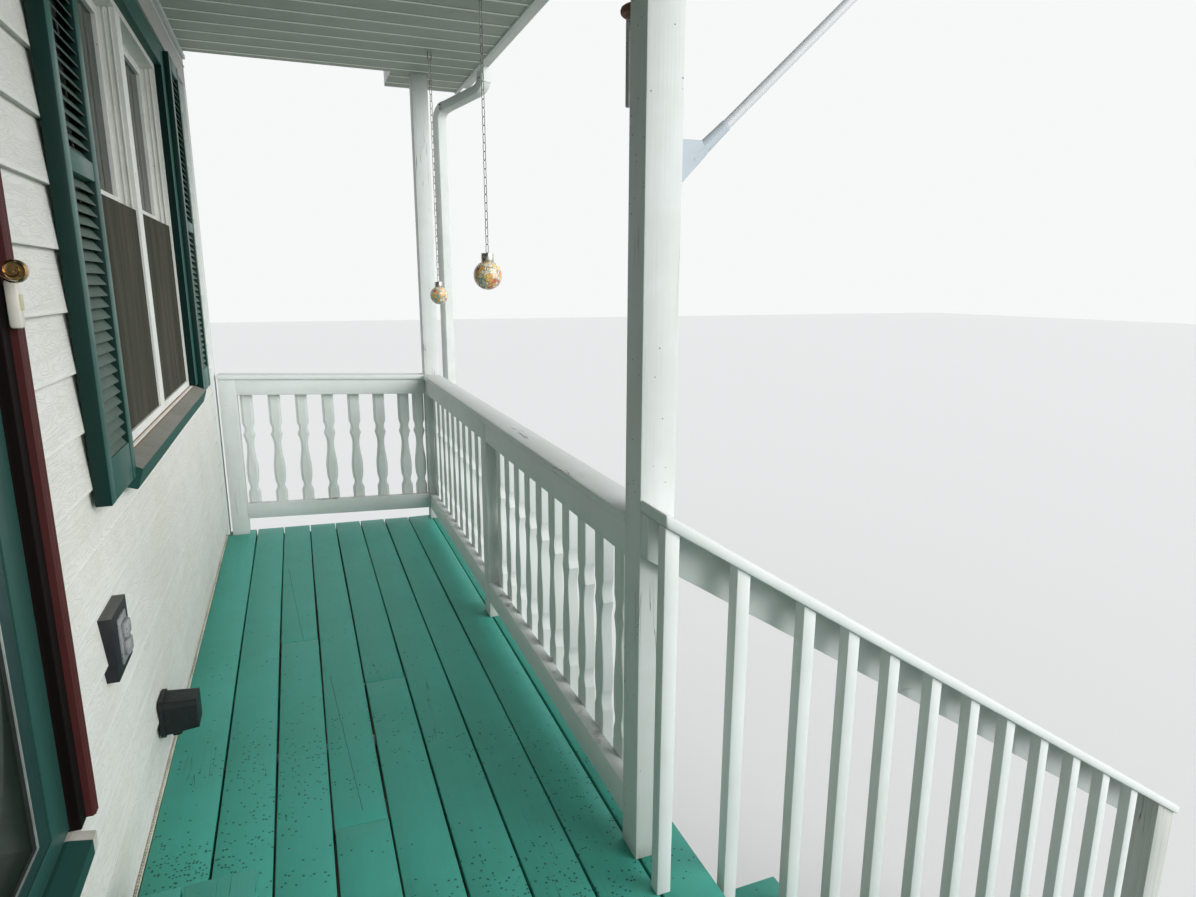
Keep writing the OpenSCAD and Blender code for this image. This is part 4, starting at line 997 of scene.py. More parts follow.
class PORCH_OT_stairs(PieceOperator, bpy.types.Operator):
    """Treads, stringers and the sloping rails"""

    bl_idname = "porch.stairs"
    bl_label = "Stairs"

    def build(self):
        planks("tread_planks", *solids_of("stair_treads"), 1, MATERIALS["deck_stain"], "stair_treads", ease=0.004,
               cuts=10, drift=0.0006, seed=41)
        dress("stair_stringers", white_wood("X"))

        def fall(points, share=1.0):
            x = points[..., 0]
            mid = (x.min(axis=(1, 2)) + x.max(axis=(1, 2)))[:, None, None] / 2
            points[..., 2] -= STAIR_SLOPE * (x - mid) * share
            return points

        def top_cut(points):
            z = points[..., 2]
            a, b = z.min(axis=(1, 2))[:, None, None], z.max(axis=(1, 2))[:, None, None]
            return fall(points, (z - a) / (b - a))

        for node, name, paint, how in (
                ("stair_pickets", "picket_posts", white_wood("Z"), {"cuts": 8, "drift": 0.0008, "seed": 42}),
                ("stair_newels", "newel_posts", MATERIALS["post_paint"], {"cuts": 8, "ease": 0.003, "seed": 43})):
            lo, hi = solids_of(node)
            drop = STAIR_SLOPE * (hi[:, :1] - lo[:, :1]) / 2 * UP
            planks(name, lo, hi - drop, 2, paint, node, bend=top_cut, **how)
        for node, name, ease, seed in (("stair_rails", "stair_aprons", 0.0025, 44),
                                       ("stair_caps", "stair_caps_eased", 0.007, 45)):
            lo, hi = solids_of(node)
            lift = STAIR_SLOPE * (hi[:, :1] - lo[:, :1]) / 2 * UP
            planks(name, lo + lift, hi - lift, 0, white_wood("X"), node, bend=fall, ease=ease, cuts=16,
                   drift=0.0006, seed=seed)


class PORCH_OT_wall(PieceOperator, bpy.types.Operator):
    """House wall, its frieze, foundation and corner boards"""

    bl_idname = "porch.wall"
    bl_label = "House wall"

    def build(self):
        for node in ("wall_far", "wall_near", "wall_over_door", "wall_under_door"):
            dress(node, siding_finish())
        dress("foundation", plain_finish("concrete", (0.42, 0.41, 0.385), rough=0.85, mottle=0.16, scale=9.0,
                                         bump=0.25, speck=0.2))
        # Painted shade: the frieze is the siding's paint dimmed to 0.62, for the shade under the ceiling.
        dress("frieze_board", painted_wood("frieze_shaded_paint", dim(colours().siding, 0.62), "Y", checks=0.15,
                                           relief=0.4, tone=0.03, dirt=0.1))
        planks("corner_boards_eased", *solids_of("corner_boards"), 2, white_wood("Z"), "corner_boards",
               ease=0.003, seed=46)
        face = high("frieze_board")[0]
        planks("ceiling_trim", [(face - 0.001, -HALF, CEILING - 0.020), (face - 0.001, -HALF, CEILING - 0.060)],
               [(face + 0.013, HALF, CEILING), (face + 0.005, HALF, CEILING - 0.052)], 1, white_wood("Y"),
               slot="frieze_board", ease=0.002, seed=47)


class PORCH_OT_window(PieceOperator, bpy.types.Operator):
    """Twin window with casing, sill, panes and screens"""

    bl_idname = "porch.window"
    bl_label = "Window"

    def build(self):
        # sides=0.18 paints shade on the casing's faces that look along the wall.
        dress("window_casing", painted_wood("casing_green", colours().green, "Z", rough=0.5, checks=0.1,
                                            relief=0.3, tone=0.08, dirt=0.15, specular=0.1, sides=0.18))
        self.sill()
        dress("window_frame", plain_finish("window_vinyl", (0.74, 0.745, 0.70), rough=0.45, mottle=0.05,
                                           speck=0.03))
        dress("window_glass", dark_glass())
        dress("window_screens", screen_finish())

    def sill(self):
        """Sloping board: a profile (out from the wall, down from the frame) carried along the window.

        Both measures waver slowly along it: 0.6 mm * sin 3.1 y outwards and 0.5 mm * sin (4.3 y + 1) upwards.
        """
        lo, hi = low("window_sill"), high("window_sill")
        out, down = np.transpose([(0.0005, -0.004), (0.057, -0.0325), (0.0605, -0.0345), (0.0615, -0.0385),
                                  (0.0465, -0.0870), (0.0435, -0.0890), (0.0400, -0.0885), (0.0005, -0.0760)])
        y = np.linspace(lo[1], hi[1] - 0.045, 14)[:, None]
        board = stacked(WALL + out + 0.0006 * np.sin(3.1 * y), y,
                        hi[2] + 0.006 + down + 0.0005 * np.sin(4.3 * y + 1))
        add_piece("sill_board", [board], sill_finish(), "window_sill", smooth=30)


class PORCH_OT_shutters(PieceOperator, bpy.types.Operator):
    """Louvred shutters with rounded slats"""

    bl_idname = "porch.shutters"
    bl_label = "Shutters"

    def build(self):
        # sides=0.26 paints shade on the shutter frames' faces that look along the wall.
        vinyl = plain_finish("shutter_vinyl", colours().green, rough=0.4, mottle=0.12, scale=12.0, speck=0.12,
                             specular=0.2, sides=0.26)
        stile, top, mid, bottom = 0.048, 0.060, 0.044, 0.100
        half, thick, angle, n = 0.0180, 0.0015, math.radians(53), sizes().slats
        turn = np.linspace(-math.pi / 2, math.pi / 2, 4)
        edge = np.stack([half + thick * np.cos(turn), thick * np.sin(turn)], -1)
        tilted = np.array([[math.cos(angle), math.sin(angle)], [-math.sin(angle), math.cos(angle)]])
        across, up = (np.concatenate([edge, -edge]) @ tilted).T
        frames, slats = [], []
        for a, b in zip(*solids_of("shutters")):
            panel = (b[2] - a[2] - top - mid - bottom) / 2
            near, far = a[1] + stile, b[1] - stile
            lower, upper = a[2] + bottom, a[2] + bottom + panel + mid
            frames += [(a, (b[0], near, b[2])), ((a[0], far, a[2]), b)]
            frames += [((a[0], near, z), (b[0] - 0.001, far, z + tall))
                       for z, tall in ((a[2], bottom), (lower + panel, mid), (upper + panel, top))]
            for z in (lower, upper):
                heights = z + (np.arange(n) + 0.5)[:, None, None] * panel / n
                slats.append(stacked((a[0] + b[0]) / 2 - across, [[near - 0.002], [far + 0.002]], heights + up))
        planks("shutter_frames", *np.swapaxes(frames, 0, 1), 2, vinyl, "shutters", ease=0.003, seed=51)
        add_piece("shutter_slats", slats, slat_finish(), slot="shutters")


def closed_frame(profile, near, far, bottom, top):
    """A profile (inward distance u, height x) led round a rectangle, mitred; the bottom side is half as deep."""
    u, x = np.transpose(profile)
    deep = u * (1 - 0.5 * (u > 0.05))
    ring = stacked(DOOR_FACE + x, [near + u, far - u, far - u, near + u],
                   [bottom + deep, bottom + deep, top - u, top - u])
    return ring, grid_faces(4, len(u), True).tolist()


def moulding_frame(profile, near, far, bottom, head, squash):
    """A profile (outward distance u, height x) led up one side, over the head and down the other, mitred.

    A corner lies at (side -+ u, head + squash * u); squash narrows the head's face.
    """
    u, x = np.transpose(profile)
    foot, top = bottom + 0 * u, head + squash * u
    return stacked(WALL + x, [near - u, near - u, far + u, far + u], [foot, top, top, foot])


class PORCH_OT_door(PieceOperator, bpy.types.Operator):
    """Storm door, jambs, moulding, lever and hinges"""

    bl_idname = "porch.door"
    bl_label = "Door"

    def build(self):
        self.moulding()
        dress("door_jambs", jamb_finish())
        self.leaf()
        dress("door_glass", dark_glass())
        self.lever()
        dress("hinge_pins", plain_finish("dull_brass", (0.42, 0.30, 0.15), rough=0.4, metallic=1.0, mottle=0.2))

    def moulding(self):
        """Brick moulding whose ridged outer part shows past a near-black strip laid over its inner part."""
        lo, hi = low("door_moulding"), high("door_moulding")
        wide, thick, strip, head, r = 0.066, 0.031, 0.037, 0.038, 0.0036
        turn = np.linspace(0, math.pi, 7)
        ridges = [np.stack([middle - r * np.cos(turn), thick - r + r * np.sin(turn)], -1)
                  for middle in (0.0438, 0.0515, 0.0592)]
        ridged = np.concatenate([[(strip, 0.0), (strip, 0.0262), (strip + 0.0015, 0.0278)], *ridges,
                                 [(0.0640, 0.0275), (wide, 0.025), (wide, 0.0)]])
        plain = [(0.0, 0.0), (0.0, 0.0135), (0.0015, 0.0150), (strip - 0.002, 0.0150), (strip - 0.0005, 0.0140),
                 (strip - 0.0005, 0.0)]
        red = painted_wood("red_paint", colours().red, "Z", rough=0.5, checks=0.35, relief=0.4, tone=0.15,
                           dirt=0.3, dents=0.5)
        black = painted_wood("moulding_dark_paint", (0.006, 0.004, 0.0035), "Z", rough=0.6, checks=0.1, relief=0.2,
                             tone=0.1, dirt=0.1, specular=0.08)
        for name, profile, paint, node in (("brick_moulding", ridged, red, "door_moulding"),
                                           ("moulding_dark_strip", plain, black, None)):
            ring = moulding_frame(profile, lo[1] + wide, hi[1] - wide, lo[2], hi[2] - head, head / wide)
            add_piece(name, [ring], paint, node, "door_moulding", smooth=30)

    def leaf(self):
        """Full-view leaf: rings of their own profiles round one tall pane, and the knuckles on its near edge.

        A profile is (inward distance u, height x over the leaf's face); the bottom rail is half as deep.
        """
        lo, hi = low("storm_door"), high("storm_door")
        glass_lo, glass_hi = low("door_glass"), high("door_glass")
        enamel = plain_finish("door_enamel", DOOR_GREEN, rough=0.4, mottle=0.10, scale=8.0, coat=0.1, speck=0.05)
        shade = plain_finish("glazing_enamel", (0.012, 0.046, 0.044), rough=0.4, mottle=0.2, scale=8.0)
        pale = plain_finish("pane_aluminium", (0.30, 0.33, 0.31), rough=0.4, mottle=0.2)
        rubber = plain_finish("gasket_rubber", (0.012, 0.014, 0.013), rough=0.7, mottle=0.3, speck=0.2)
        for name, paint, node, profile in (
                ("door_leaf", enamel, "storm_door",
                 [(0.0, -0.038), (0.0, -0.0035), (0.001, -0.001), (0.0035, 0.0), (0.0922, 0.0), (0.0935, -0.0007),
                  (0.0940, -0.0100), (0.1500, -0.0100), (0.1500, -0.038)]),
                ("glazing_band", shade, None,
                 [(0.0972, -0.0102), (0.0976, -0.0030), (0.1000, -0.0018), (0.1120, -0.0028), (0.1240, -0.0048),
                  (0.1335, -0.0075), (0.1350, -0.0102)]),
                ("pane_bead", pale, None,
                 [(0.1352, -0.0102), (0.1355, -0.0065), (0.1365, -0.0058), (0.1375, -0.0065), (0.1380, -0.0102)]),
                ("pane_gasket", rubber, None,
                 [(0.1382, -0.030), (0.1382, -0.0090), (0.1520, -0.0098), (0.1528, -0.0104), (0.1528, -0.030)])):
            ring = closed_frame(profile, glass_lo[1] - 0.110, hi[1], lo[2], hi[2])
            add_piece(name, [ring], paint, node, "storm_door", DOOR, smooth=30)
        tall, radius, bore = 0.045, 0.0055, 0.0036
        knuckles = []
        for z in (lo[2] + 0.220, (lo[2] + hi[2]) / 2, hi[2] - 0.220):
            pin = np.array([WALL + 0.004, lo[1] + 0.0055, z])
            tube = revolve([(bore, -tall), (radius, -tall), (radius, tall), (bore, tall)], pin, 20)
            tab = plank_points([(DOOR_FACE - 0.001, pin[1] + 0.0040, z - tall)],
                               [(DOOR_FACE + 0.0085, pin[1] + 0.0160, z + tall)], 2, ease=0.001)[0]
            knuckles += [(tube, grid_faces(4, 20, True).tolist()), tab]
        add_piece("leaf_knuckles", knuckles, enamel, slot="storm_door", body=DOOR)
        planks("lower_pane", [(glass_lo[0], glass_lo[1], lo[2] + 0.070)], [(glass_hi[0], glass_hi[1], glass_lo[2])],
               2, dark_glass(), slot="door_glass", body=DOOR, ease=0.0003)

    def lever(self):
        """Rosette and shank, then a flat bar that drops and rolls up into a scroll of shrinking radius.

        A filled disc with a raised rim and hub closes the scroll.
        """
        lo, hi = low("door_lever"), high("door_lever")
        middle = np.array([DOOR_FACE, hi[1] - 0.027, (lo[2] + hi[2]) / 2])
        rose = revolve([(0.0004, 0.0), (0.027, 0.0), (0.027, 0.003), (0.024, 0.006), (0.012, 0.0075),
                        (0.0095, 0.012), (0.0085, 0.030), (0.0004, 0.030)])
        plug = revolve([(0.0004, -0.0066), (0.0050, -0.0078), (0.0105, -0.0060), (0.0148, -0.0072),
                        (0.0150, 0.0072), (0.0105, 0.0060), (0.0004, 0.0066)])
        turn = np.linspace(-math.pi / 2, -math.pi / 2 + 2 * math.pi * 1.35, 44)
        radius = np.linspace(0.0195, 0.0070, len(turn))
        scroll = np.stack([0.060 + radius * np.cos(turn), 0 * turn, radius * np.sin(turn)], -1)
        arm = [(0.024, 0, 0.001), (0.031, 0, -0.003), (0.039, 0, -0.009), (0.047, 0, -0.0150),
               (0.054, 0, -0.0187)]
        angle = np.linspace(0, 2 * math.pi, 12, endpoint=False)
        section = np.stack([0.0016 * np.sin(angle), 0.0102 * np.cos(angle)], -1)
        bar = sweep(np.concatenate([arm, scroll]) + middle, section, (0, 1, 0))
        brass = plain_finish("brass", (0.46, 0.29, 0.12), rough=0.25, metallic=1.0, mottle=0.15)
        add_piece("lever_scroll", [middle + rose[..., [2, 0, 1]], middle + (0.0623, 0, -0.0020) + plug[..., [0, 2, 1]],
                                   bar], brass, "door_lever", body=DOOR)


class PORCH_OT_ceiling(PieceOperator, bpy.types.Operator):
    """Grooved ceiling, fascia, header and roof courses"""

    bl_idname = "porch.ceiling"
    bl_label = "Ceiling and roof"

    def build(self):
        self.boards()
        dress("fascia", painted_wood("fascia_paint", colours().white, "Y", rough=0.5, checks=0.15, relief=0.3,
                                     tone=0.03, dirt=0.15))
        dress("header_beam", MATERIALS["bare_wood_y"])
        self.roof()

    def boards(self):
        """Boards every pitch with a fine slot and a raised band beside it, between the posts and past them.

        Point k, j of a strip lies at y = k * pitch + shape[j, 0], z = underside + shape[j, 1].
        """
        lo, hi = low("ceiling"), high("ceiling")
        pitch, edge, soffit = sizes().groove_pitch, HALF - POST + 0.011, WALL + 1.495
        shape = np.array([(0.0, 0.0), (0.0015, 0.004), (0.003, 0.0005), (0.0050, -0.0022), (0.0215, -0.0022),
                          (0.0235, 0.0)])
        parts = []
        for y0, y1, x0 in ((-edge, edge, lo[0]), (edge, hi[1], soffit - 0.422), (-hi[1], -edge, soffit - 0.422)):
            k = np.arange(math.floor(y0 / pitch) - 1, math.ceil(y1 / pitch) + 1)
            y, z = (k[:, None] * pitch + shape[:, 0]).ravel(), np.tile(shape[:, 1], len(k))
            keep = (y > y0 + 0.001) & (y < y1 - 0.001)
            y = np.concatenate([[y0], y[keep], [y1]])
            z = lo[2] + 0.0023 + np.concatenate([[0], z[keep], [0]])
            parts.append(closed_strip(stacked([[[x0]], [[soffit]]], y, [z, hi[2] + 0 * z])))
        add_piece("ceiling_boards", parts, ceiling_finish(), "ceiling", smooth=None)

    def roof(self):
        """Slab whose top steps down at each course: drop = 6 mm at a butt, back to nothing at the next one."""
        lo, hi = low("roof"), high("roof")
        thick, slope, butt = 0.040, 1 / 3, 0.006
        start = math.floor(lo[0] / EXPOSURE) * EXPOSURE
        butts = np.arange(start, hi[0] + EXPOSURE, EXPOSURE)
        butts = butts[(butts > lo[0] + 0.01) & (butts < hi[0] - 0.01)]
        x = np.concatenate([[lo[0]], np.repeat(butts, 2), [hi[0]]])
        drop = np.concatenate([[butt * 0.5], np.tile([0.0, butt], len(butts)), [0.0]])
        top = hi[2] - (x - lo[0]) * slope
        slab = stacked(x, [[[lo[1]]], [[hi[1]]]], [top - drop, top - thick])
        add_piece("roof_courses", [closed_strip(slab)], shingle_finish(), "roof", smooth=None)


class PORCH_OT_gutter(PieceOperator, bpy.types.Operator):
    """Gutter, and a downspout with smooth elbows, bands and screws"""

    bl_idname = "porch.gutter"
    bl_label = "Gutter and downspout"

    def build(self):
        dress("gutter", plain_finish("gutter_enamel", (0.74, 0.75, 0.73), rough=0.5, mottle=0.07, scale=6.0,
                                     speck=0.1))
        self.spout()

    def spout(self):
        """Round-cornered pipe along a bent line in its own upright plane, and an elbow that turns a quarter away.

        A point is path + u * across + v * level, the section being the half size - r at each corner + r * arc.
        """
        r, tilt, neck, level = 0.070, math.radians(78), 0.050, 0.150
        top = np.array([WALL + 1.560, HALF - 0.253, CEILING + 0.030])
        foot = np.array([POST_OUT + 0.086, HALF + 0.048, level + 0.010])
        along = (foot - top) * (1, 1, 0)
        reach = np.hypot(*along[:2])
        along /= reach
        turned = np.array([along[1], -along[0], 0.0])
        slope = (reach - 2 * r * (1 - math.cos(tilt))) / math.sin(tilt)
        drop = top[2] - neck - 2 * r * math.sin(tilt) - slope * math.cos(tilt) - level
        line = bent_line([(neck, 0.0), (slope, tilt), (drop, 0.0)], r)
        elbow = bent_line([(0.010, 0.0), (0.060, math.radians(55))], 0.075)

        def pipe(flat, start, way, up, half):
            section = SECTION_SIGN * (np.array(half) - 0.008) + 0.008 * SECTION_ARC
            return sweep(start + flat[:, :1] * way + flat[:, 1:] * UP, section, up)

        parts = [pipe(line, top, along, turned, (0.025, 0.035)), pipe(elbow, foot, turned, along, (0.036, 0.026))]
        for k in (2, 10, 11, 19):
            ahead = line[k] - line[k - 1]
            band = line[k] + np.array([[-0.016], [0.016]]) * ahead / np.hypot(*ahead)
            parts.append(pipe(band, top, along, turned, (0.0262, 0.0362)))
        head = revolve([(0.0004, 0.0), (0.0042, 0.0), (0.0036, 0.002), (0.0004, 0.0026)], turns=12)
        head = along * head[..., :1] + UP * head[..., 1:2] - turned * head[..., 2:]
        screws = []
        for k, way, places in ((11, UP, (-0.012, 0.012)), (3, UP, (0.012,)), (19, along, (-0.012, 0.012))):
            place = top + line[k, 0] * along + line[k, 1] * UP - 0.0362 * turned
            screws += [place + across * way + head for across in places]
        enamel = plain_finish("spout_enamel", (0.60, 0.63, 0.61), rough=0.45, mottle=0.09, scale=6.0, speck=0.04)
        add_piece("downspout_pipe", parts, enamel, "downspout")
        add_piece("downspout_screws", screws, plain_finish("screw_heads", (0.03, 0.03, 0.028)), slot="downspout")


class PORCH_OT_fittings(PieceOperator, bpy.types.Operator):
    """Outlet, weather box, bell button, flag pole and wind chime"""

    bl_idname = "porch.fittings"
    bl_label = "Fittings"

    def build(self):
        self.outlet()
        dress("weather_box", plain_finish("black_plastic", (0.013, 0.018, 0.018), rough=0.5, mottle=0.3,
                                          speck=0.5))
        lo, hi = solids_of("doorbell")
        lo[:, 0] = WALL + 0.024
        planks("bell_plate", lo, hi, 2, plain_finish("ivory_plastic", (0.66, 0.62, 0.55), rough=0.4, mottle=0.08),
               "doorbell", ease=0.006, seed=61)
        corner = np.array([hi[0, 0], lo[0, 1], lo[0, 2]])
        planks("bell_rim", corner + (-0.001, 0.006, 0.030), corner + (0.003, 0.018, 0.056), 2,
               plain_finish("bell_ring", (0.55, 0.50, 0.33), rough=0.4), slot="doorbell", ease=0.0019, seed=62)
        self.flag()
        self.chime()

    def flag(self):
        """Staff with its ball, and a moulded socket: a cup, a web and a plate.

        Staff and cup are turned about Y so that z leans to (cos tilt, 0, sin tilt).
        """
        lo, hi = low("flag_pole"), high("flag_pole")
        foot, rise, tilt = np.array([POST_OUT, (lo[1] + hi[1]) / 2, DECK]), 1.6815, math.radians(42.8)
        cos, sin = math.cos(tilt), math.sin(tilt)

        def leaning(profile):
            x, y, z = np.moveaxis(revolve(profile, turns=40), -1, 0)
            return stacked(x * sin + z * cos, y, z * sin - x * cos) + foot + rise * UP

        polar = np.linspace(-0.95, math.pi / 2 - 0.02, 14)
        ball = np.stack([0.0200 * np.cos(polar), 1.835 + 0.0200 * np.sin(polar)], -1)
        z = np.linspace(0.150, 1.816, 80)
        staff = np.concatenate([[(0.0004, 0.150)], stacked(0.0113, z), ball])
        z = np.linspace(0.060, 0.1745, 14)
        radius = np.interp(z, [0.060, 0.100, 0.150, 0.1745], [0.0150, 0.0150, 0.0132, 0.0128])
        cup = np.concatenate([[(0.0004, 0.060)], stacked(radius, z),
                              [(0.0122, 0.176), (0.0114, 0.1755), (0.0004, 0.170)]])
        outline = np.array([(0.002, 1.672), (0.018, 1.674), (0.078, 1.736), (0.062, 1.7628), (0.002, 1.7628)])
        middle = outline.mean(0)
        y, share = np.array([(-0.0145, 0.96), (-0.0130, 1.0), (0.0130, 1.0), (0.0145, 0.96)]).T[..., None]
        flat = middle + share[..., None] * (outline - middle)
        web = stacked(flat[..., 0], y, flat[..., 1]) + foot
        plate = plank_points(foot + (0, -0.024, 1.668), foot + (0.010, 0.024, 1.785), 2, ease=0.003)[0]
        enamel = plain_finish("pole_enamel", (0.60, 0.61, 0.62), rough=0.4, mottle=0.04, scale=5.0, bump=0.01)
        plastic = plain_finish("socket_plastic", (0.46, 0.51, 0.555), rough=0.5, mottle=0.06, scale=9.0, bump=0.01)
        add_piece("flag_staff", [leaning(staff)], enamel, "flag_pole")
        add_piece("flag_socket", [leaning(cup), web, plate], plastic, slot="flag_pole")

    def outlet(self):
        """Siding block, a cover frame on it, two domed lids and their springs' barrel between them."""
        lo, hi = low("outlet_block"), high("outlet_block")
        face = np.array([lo[0] + 0.018, (lo[1] + hi[1]) / 2, lo[2]])
        blocks = [((WALL + 0.001, lo[1], lo[2]), (face[0], hi[1], hi[2]), 0.0015),
                  (face + (-0.0005, -0.036, 0.022), face + (0.005, 0.036, 0.134), 0.0015),
                  (face + (0.004, -0.024, 0.038), face + (0.017, 0.022, 0.074), 0.005),
                  (face + (0.004, -0.024, 0.082), face + (0.017, 0.022, 0.118), 0.005),
                  (face + (0.004, 0.020, 0.040), face + (0.012, 0.029, 0.116), 0.003)]
        parts = [plank_points(a, b, 2, ease=ease)[0] for a, b, ease in blocks]
        add_piece("outlet_cover", parts, outlet_finish(), "outlet_block")

    def chime(self):
        """Wind chime: a waxed cord, a turned disc and aluminium tubes with open ends, on threads."""
        lo, hi = low("wind_chime"), high("wind_chime")
        r, thick, hang, outer, tall = 0.045, 0.018, 0.553, 0.007, 0.185
        inner, ring = outer - 0.0012, r - outer - 0.012
        centre = np.array([hi[0] - r, lo[1] + r, hi[2] - hang])
        cord = revolve([(0.0004, -0.001), (0.0016, -0.001), (0.0016, hang), (0.0004, hang)], centre, 8)
        disc = revolve([(0.0004, -thick), (r - 0.004, -thick), (r - 0.001, -thick + 0.003), (r, -0.009),
                        (r - 0.002, -0.003), (r - 0.006, -0.0002), (0.0004, 0.0)], centre, 40)
        tubes, threads = [], [cord]
        for a in np.radians(72 * np.arange(5) + 140):
            place = centre + (ring * math.cos(a), ring * math.sin(a), -thick)
            tubes.append(revolve([(inner, -tall + 0.01), (inner, -tall - 0.005), (outer, -tall - 0.005),
                                  (outer, -0.005), (inner, -0.005), (inner, -0.02)], place, 20))
            threads.append(revolve([(0.0003, -0.021), (0.0011, -0.021), (0.0011, 0.001), (0.0003, 0.001)], place, 6))
        wood = painted_wood("chime_wood", (0.20, 0.09, 0.05), "X", checks=0.3, tone=0.15, dirt=0.2)
        metal = plain_finish("chime_aluminium", (0.62, 0.63, 0.64), rough=0.3, metallic=1.0, mottle=0.1)
        wax = plain_finish("waxed_cord", (0.30, 0.25, 0.18), rough=0.8)
        add_piece("chime_disc", [disc], wood, "wind_chime")
        add_piece("chime_tubes", tubes, metal, slot="wind_chime")
        add_piece("chime_cord", threads, wax, slot="wind_chime")


def chain(place, z0, z1, long, wide, thick):
    """Links: a stadium line of inner length long and width wide, each turned a quarter about the chain's line.

    A link's point is (reach * cos t, thick * sin a, reach * sin t +- (long - wide) / 2), with
    reach = wide / 2 + thick * cos a.
    """
    count = max(1, int(round((z1 - z0) / (long - thick))))
    step = (z1 - z0) / count
    turn, around = (np.linspace(0, 2 * math.pi, n, endpoint=False) for n in (16, 6))
    reach, turn = wide / 2 + thick * np.cos(around), turn[:, None]
    u, v = reach * np.cos(turn), thick * np.sin(around)
    z = reach * np.sin(turn) + (long - wide) / 2 * np.sign(np.sin(turn + 1e-6))
    k = np.arange(count)[:, None, None]
    cos, sin = np.cos(k * math.pi / 2 + 0.5), np.sin(k * math.pi / 2 + 0.5)
    links = stacked(place[0] + u * cos - v * sin, place[1] + u * sin + v * cos, z0 + (k + 0.5) * step + z)
    return links, (grid_faces(*u.shape, True) + k * u.size).reshape(-1, 4).tolist()


class PORCH_OT_lanterns(PieceOperator, bpy.types.Operator):
    """Mosaic globes under tall metal caps, on link chains and hooks"""

    bl_idname = "porch.lanterns"
    bl_label = "Lanterns"

    def build(self):
        polar = np.linspace(-math.pi / 2 + 0.06, math.pi / 2 - 0.35, 30)
        ball = stacked(np.cos(polar), np.sin(polar))
        lid = np.array([(0.30, 0.88), (0.43, 0.90), (0.44, 0.92), (0.44, 1.47), (0.42, 1.50), (0.10, 1.51),
                        (0.04, 1.56)])
        globes, caps, chains = [], [], []
        for a, b in zip(*solids_of("lanterns")):
            r = (b[0] - a[0]) / 2
            centre = np.array([(a[0] + b[0]) / 2, (a[1] + b[1]) / 2, a[2] + r - 0.021])
            globes.append(revolve(r * ball, centre, 40))
            caps.append(revolve(r * lid, centre, 24))
            chains += [chain(centre, centre[2] + 1.54 * r, b[2] - 0.030, sizes().link_pitch, 0.013, 0.0017),
                       chain(centre, b[2] - 0.036, b[2] + 0.004, 0.040, 0.024, 0.0026)]
        metal = plain_finish("cap_metal", (0.55, 0.52, 0.46), rough=0.28, metallic=1.0, mottle=0.1)
        steel = plain_finish("chain_steel", (0.30, 0.30, 0.28), rough=0.4, metallic=0.6, mottle=0.3, scale=60.0)
        add_piece("globes", globes, mosaic_finish(), "lanterns")
        add_piece("globe_lids", caps, metal, slot="lanterns")
        add_piece("globe_chains", chains, steel, slot="lanterns")


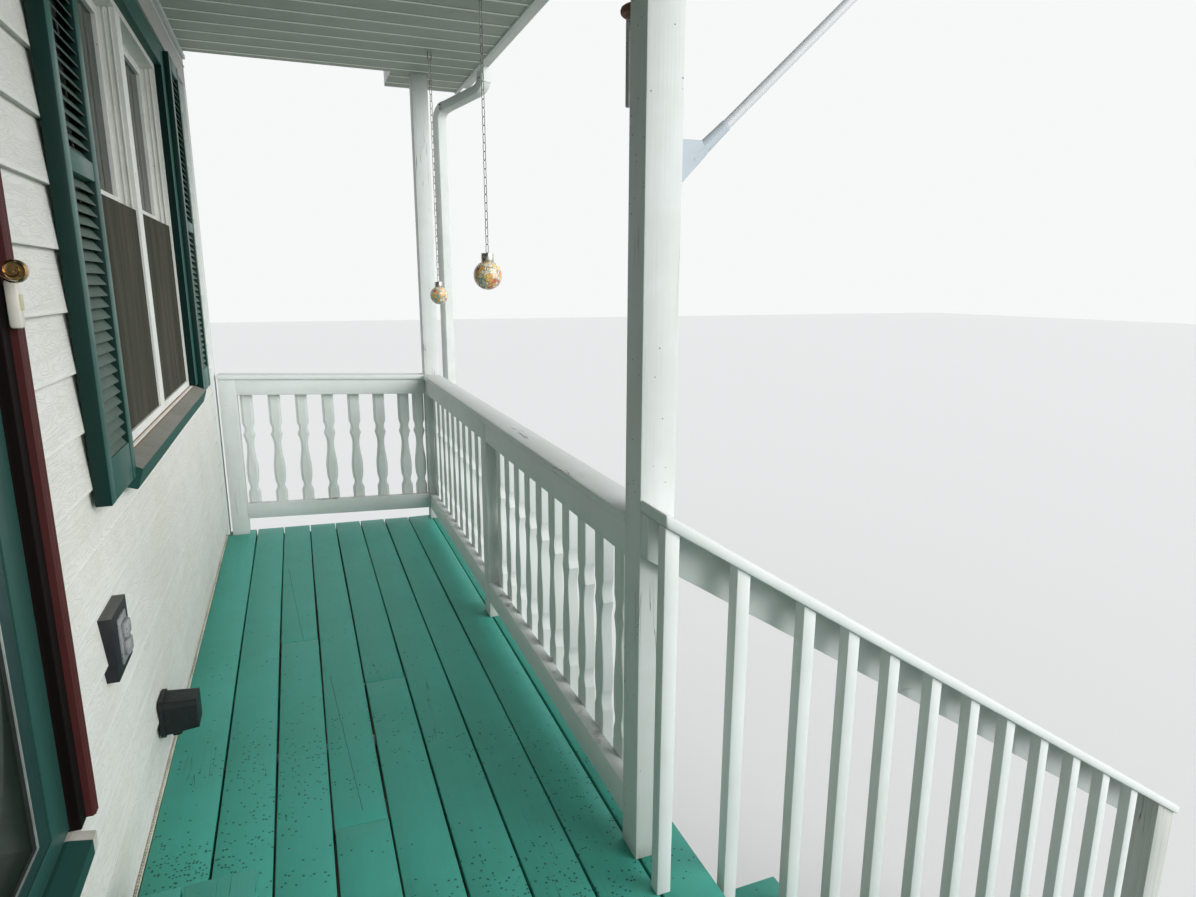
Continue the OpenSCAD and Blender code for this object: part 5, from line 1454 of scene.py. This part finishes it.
class PORCH_OT_stage(PieceOperator, bpy.types.Operator):
    """Floor, light and camera"""

    bl_idname = "porch.stage"
    bl_label = "Stage"

    def build(self):
        scene = bpy.context.scene
        scene.view_settings.view_transform = "Standard"
        self.floor(scene)
        self.lights(scene)
        self.camera(scene)

    def floor(self, scene):
        side, down = 60.0, -0.001
        points = [(x * side, y * side, down) for x, y in ((-1, -1), (1, -1), (1, 1), (-1, 1))]
        mesh = bpy.data.meshes.new("floor")
        mesh.from_pydata(points, [], [(0, 1, 2, 3)])
        floor = bpy.data.objects.new("floor", mesh)
        scene.collection.objects.link(floor)
        mesh.materials.append(floor_finish())

    def lights(self, scene):
        world = bpy.data.worlds.new("studio")
        scene.world = world
        world.use_nodes = True
        net = Net(world.node_tree)
        background = world.node_tree.nodes["Background"]
        way = net.add("TexCoord").outputs["Generated"]
        level = net.mul(net.span(net.part(way, 2), 0.15, 0.9, 1.0, 0.48),
                        net.span(net.part(way, 1), 0.2, -0.9, 1.0, 1.35))
        soft = net.mix(1.0, (0.84, 0.87, 0.89), level, "MULTIPLY")
        net.give(background.inputs["Color"], net.mix(net.seen(), soft, (0.93, 0.94, 0.94)))
        background.inputs["Strength"].default_value = 1.0
        suns = (("from_the_garden", 0.5, 80, 72, 90), ("from_the_corner", 3.1, 50, 71, 42))
        for name, energy, angle, tilt, turn in suns:
            data = bpy.data.lights.new(name, "SUN")
            data.energy = energy
            data.angle = math.radians(angle)
            lamp = bpy.data.objects.new(name, data)
            scene.collection.objects.link(lamp)
            lamp.rotation_euler = (math.radians(tilt), 0, math.radians(turn))

    def camera(self, scene):
        """Looks along yaw 0.375 from +Y towards +X, 0.211 below the horizon, as worked out from the photograph."""
        yaw, pitch, roll = 0.375, 0.211, 0.002
        focal, width, sensor = 762.6, 1196, 36.0
        ahead = Vector((math.sin(yaw) * math.cos(pitch), math.cos(yaw) * math.cos(pitch), -math.sin(pitch)))
        right = Vector((math.cos(yaw), -math.sin(yaw), 0))
        up = right.cross(ahead)
        right, up = (math.cos(roll) * right + math.sin(roll) * up, math.cos(roll) * up - math.sin(roll) * right)
        data = bpy.data.cameras.new("camera")
        data.sensor_width = sensor
        data.lens = focal / width * sensor
        data.clip_start, data.clip_end = 0.02, 200
        camera = bpy.data.objects.new("camera", data)
        scene.collection.objects.link(camera)
        turn = Matrix((right, up, -ahead)).transposed()
        camera.matrix_world = Matrix.Translation((WALL + 0.466, -1.744, DECK + 1.450)) @ turn.to_4x4()
        scene.camera = camera


OPERATORS = (PORCH_OT_deck, PORCH_OT_posts, PORCH_OT_level_rails, PORCH_OT_stairs, PORCH_OT_wall, PORCH_OT_window,
             PORCH_OT_shutters, PORCH_OT_door, PORCH_OT_ceiling, PORCH_OT_gutter, PORCH_OT_fittings,
             PORCH_OT_lanterns, PORCH_OT_stage)


class PORCH_PT_panel(bpy.types.Panel):
    """Sizes, colours and one button for each group of pieces"""

    bl_idname = "PORCH_PT_panel"
    bl_label = "Front porch"
    bl_space_type = "VIEW_3D"
    bl_region_type = "UI"
    bl_category = "Porch"

    def draw(self, context):
        for group in (context.scene.porch_sizes, context.scene.porch_colours):
            for name in group.__annotations__:
                self.layout.prop(group, name)
        for operator in OPERATORS:
            self.layout.operator(operator.bl_idname)


CLASSES = (PorchSizes, PorchColours, *OPERATORS, PORCH_PT_panel)


def register():
    for item in CLASSES:
        bpy.utils.register_class(item)
    bpy.types.Scene.porch_sizes = bpy.props.PointerProperty(type=PorchSizes)
    bpy.types.Scene.porch_colours = bpy.props.PointerProperty(type=PorchColours)


def unregister():
    del bpy.types.Scene.porch_sizes
    del bpy.types.Scene.porch_colours
    for item in reversed(CLASSES):
        bpy.utils.unregister_class(item)


def main():
    register()
    for operator in OPERATORS:
        family, name = operator.bl_idname.split(".")
        getattr(getattr(bpy.ops, family), name)()


if __name__ == "__main__":
    main()
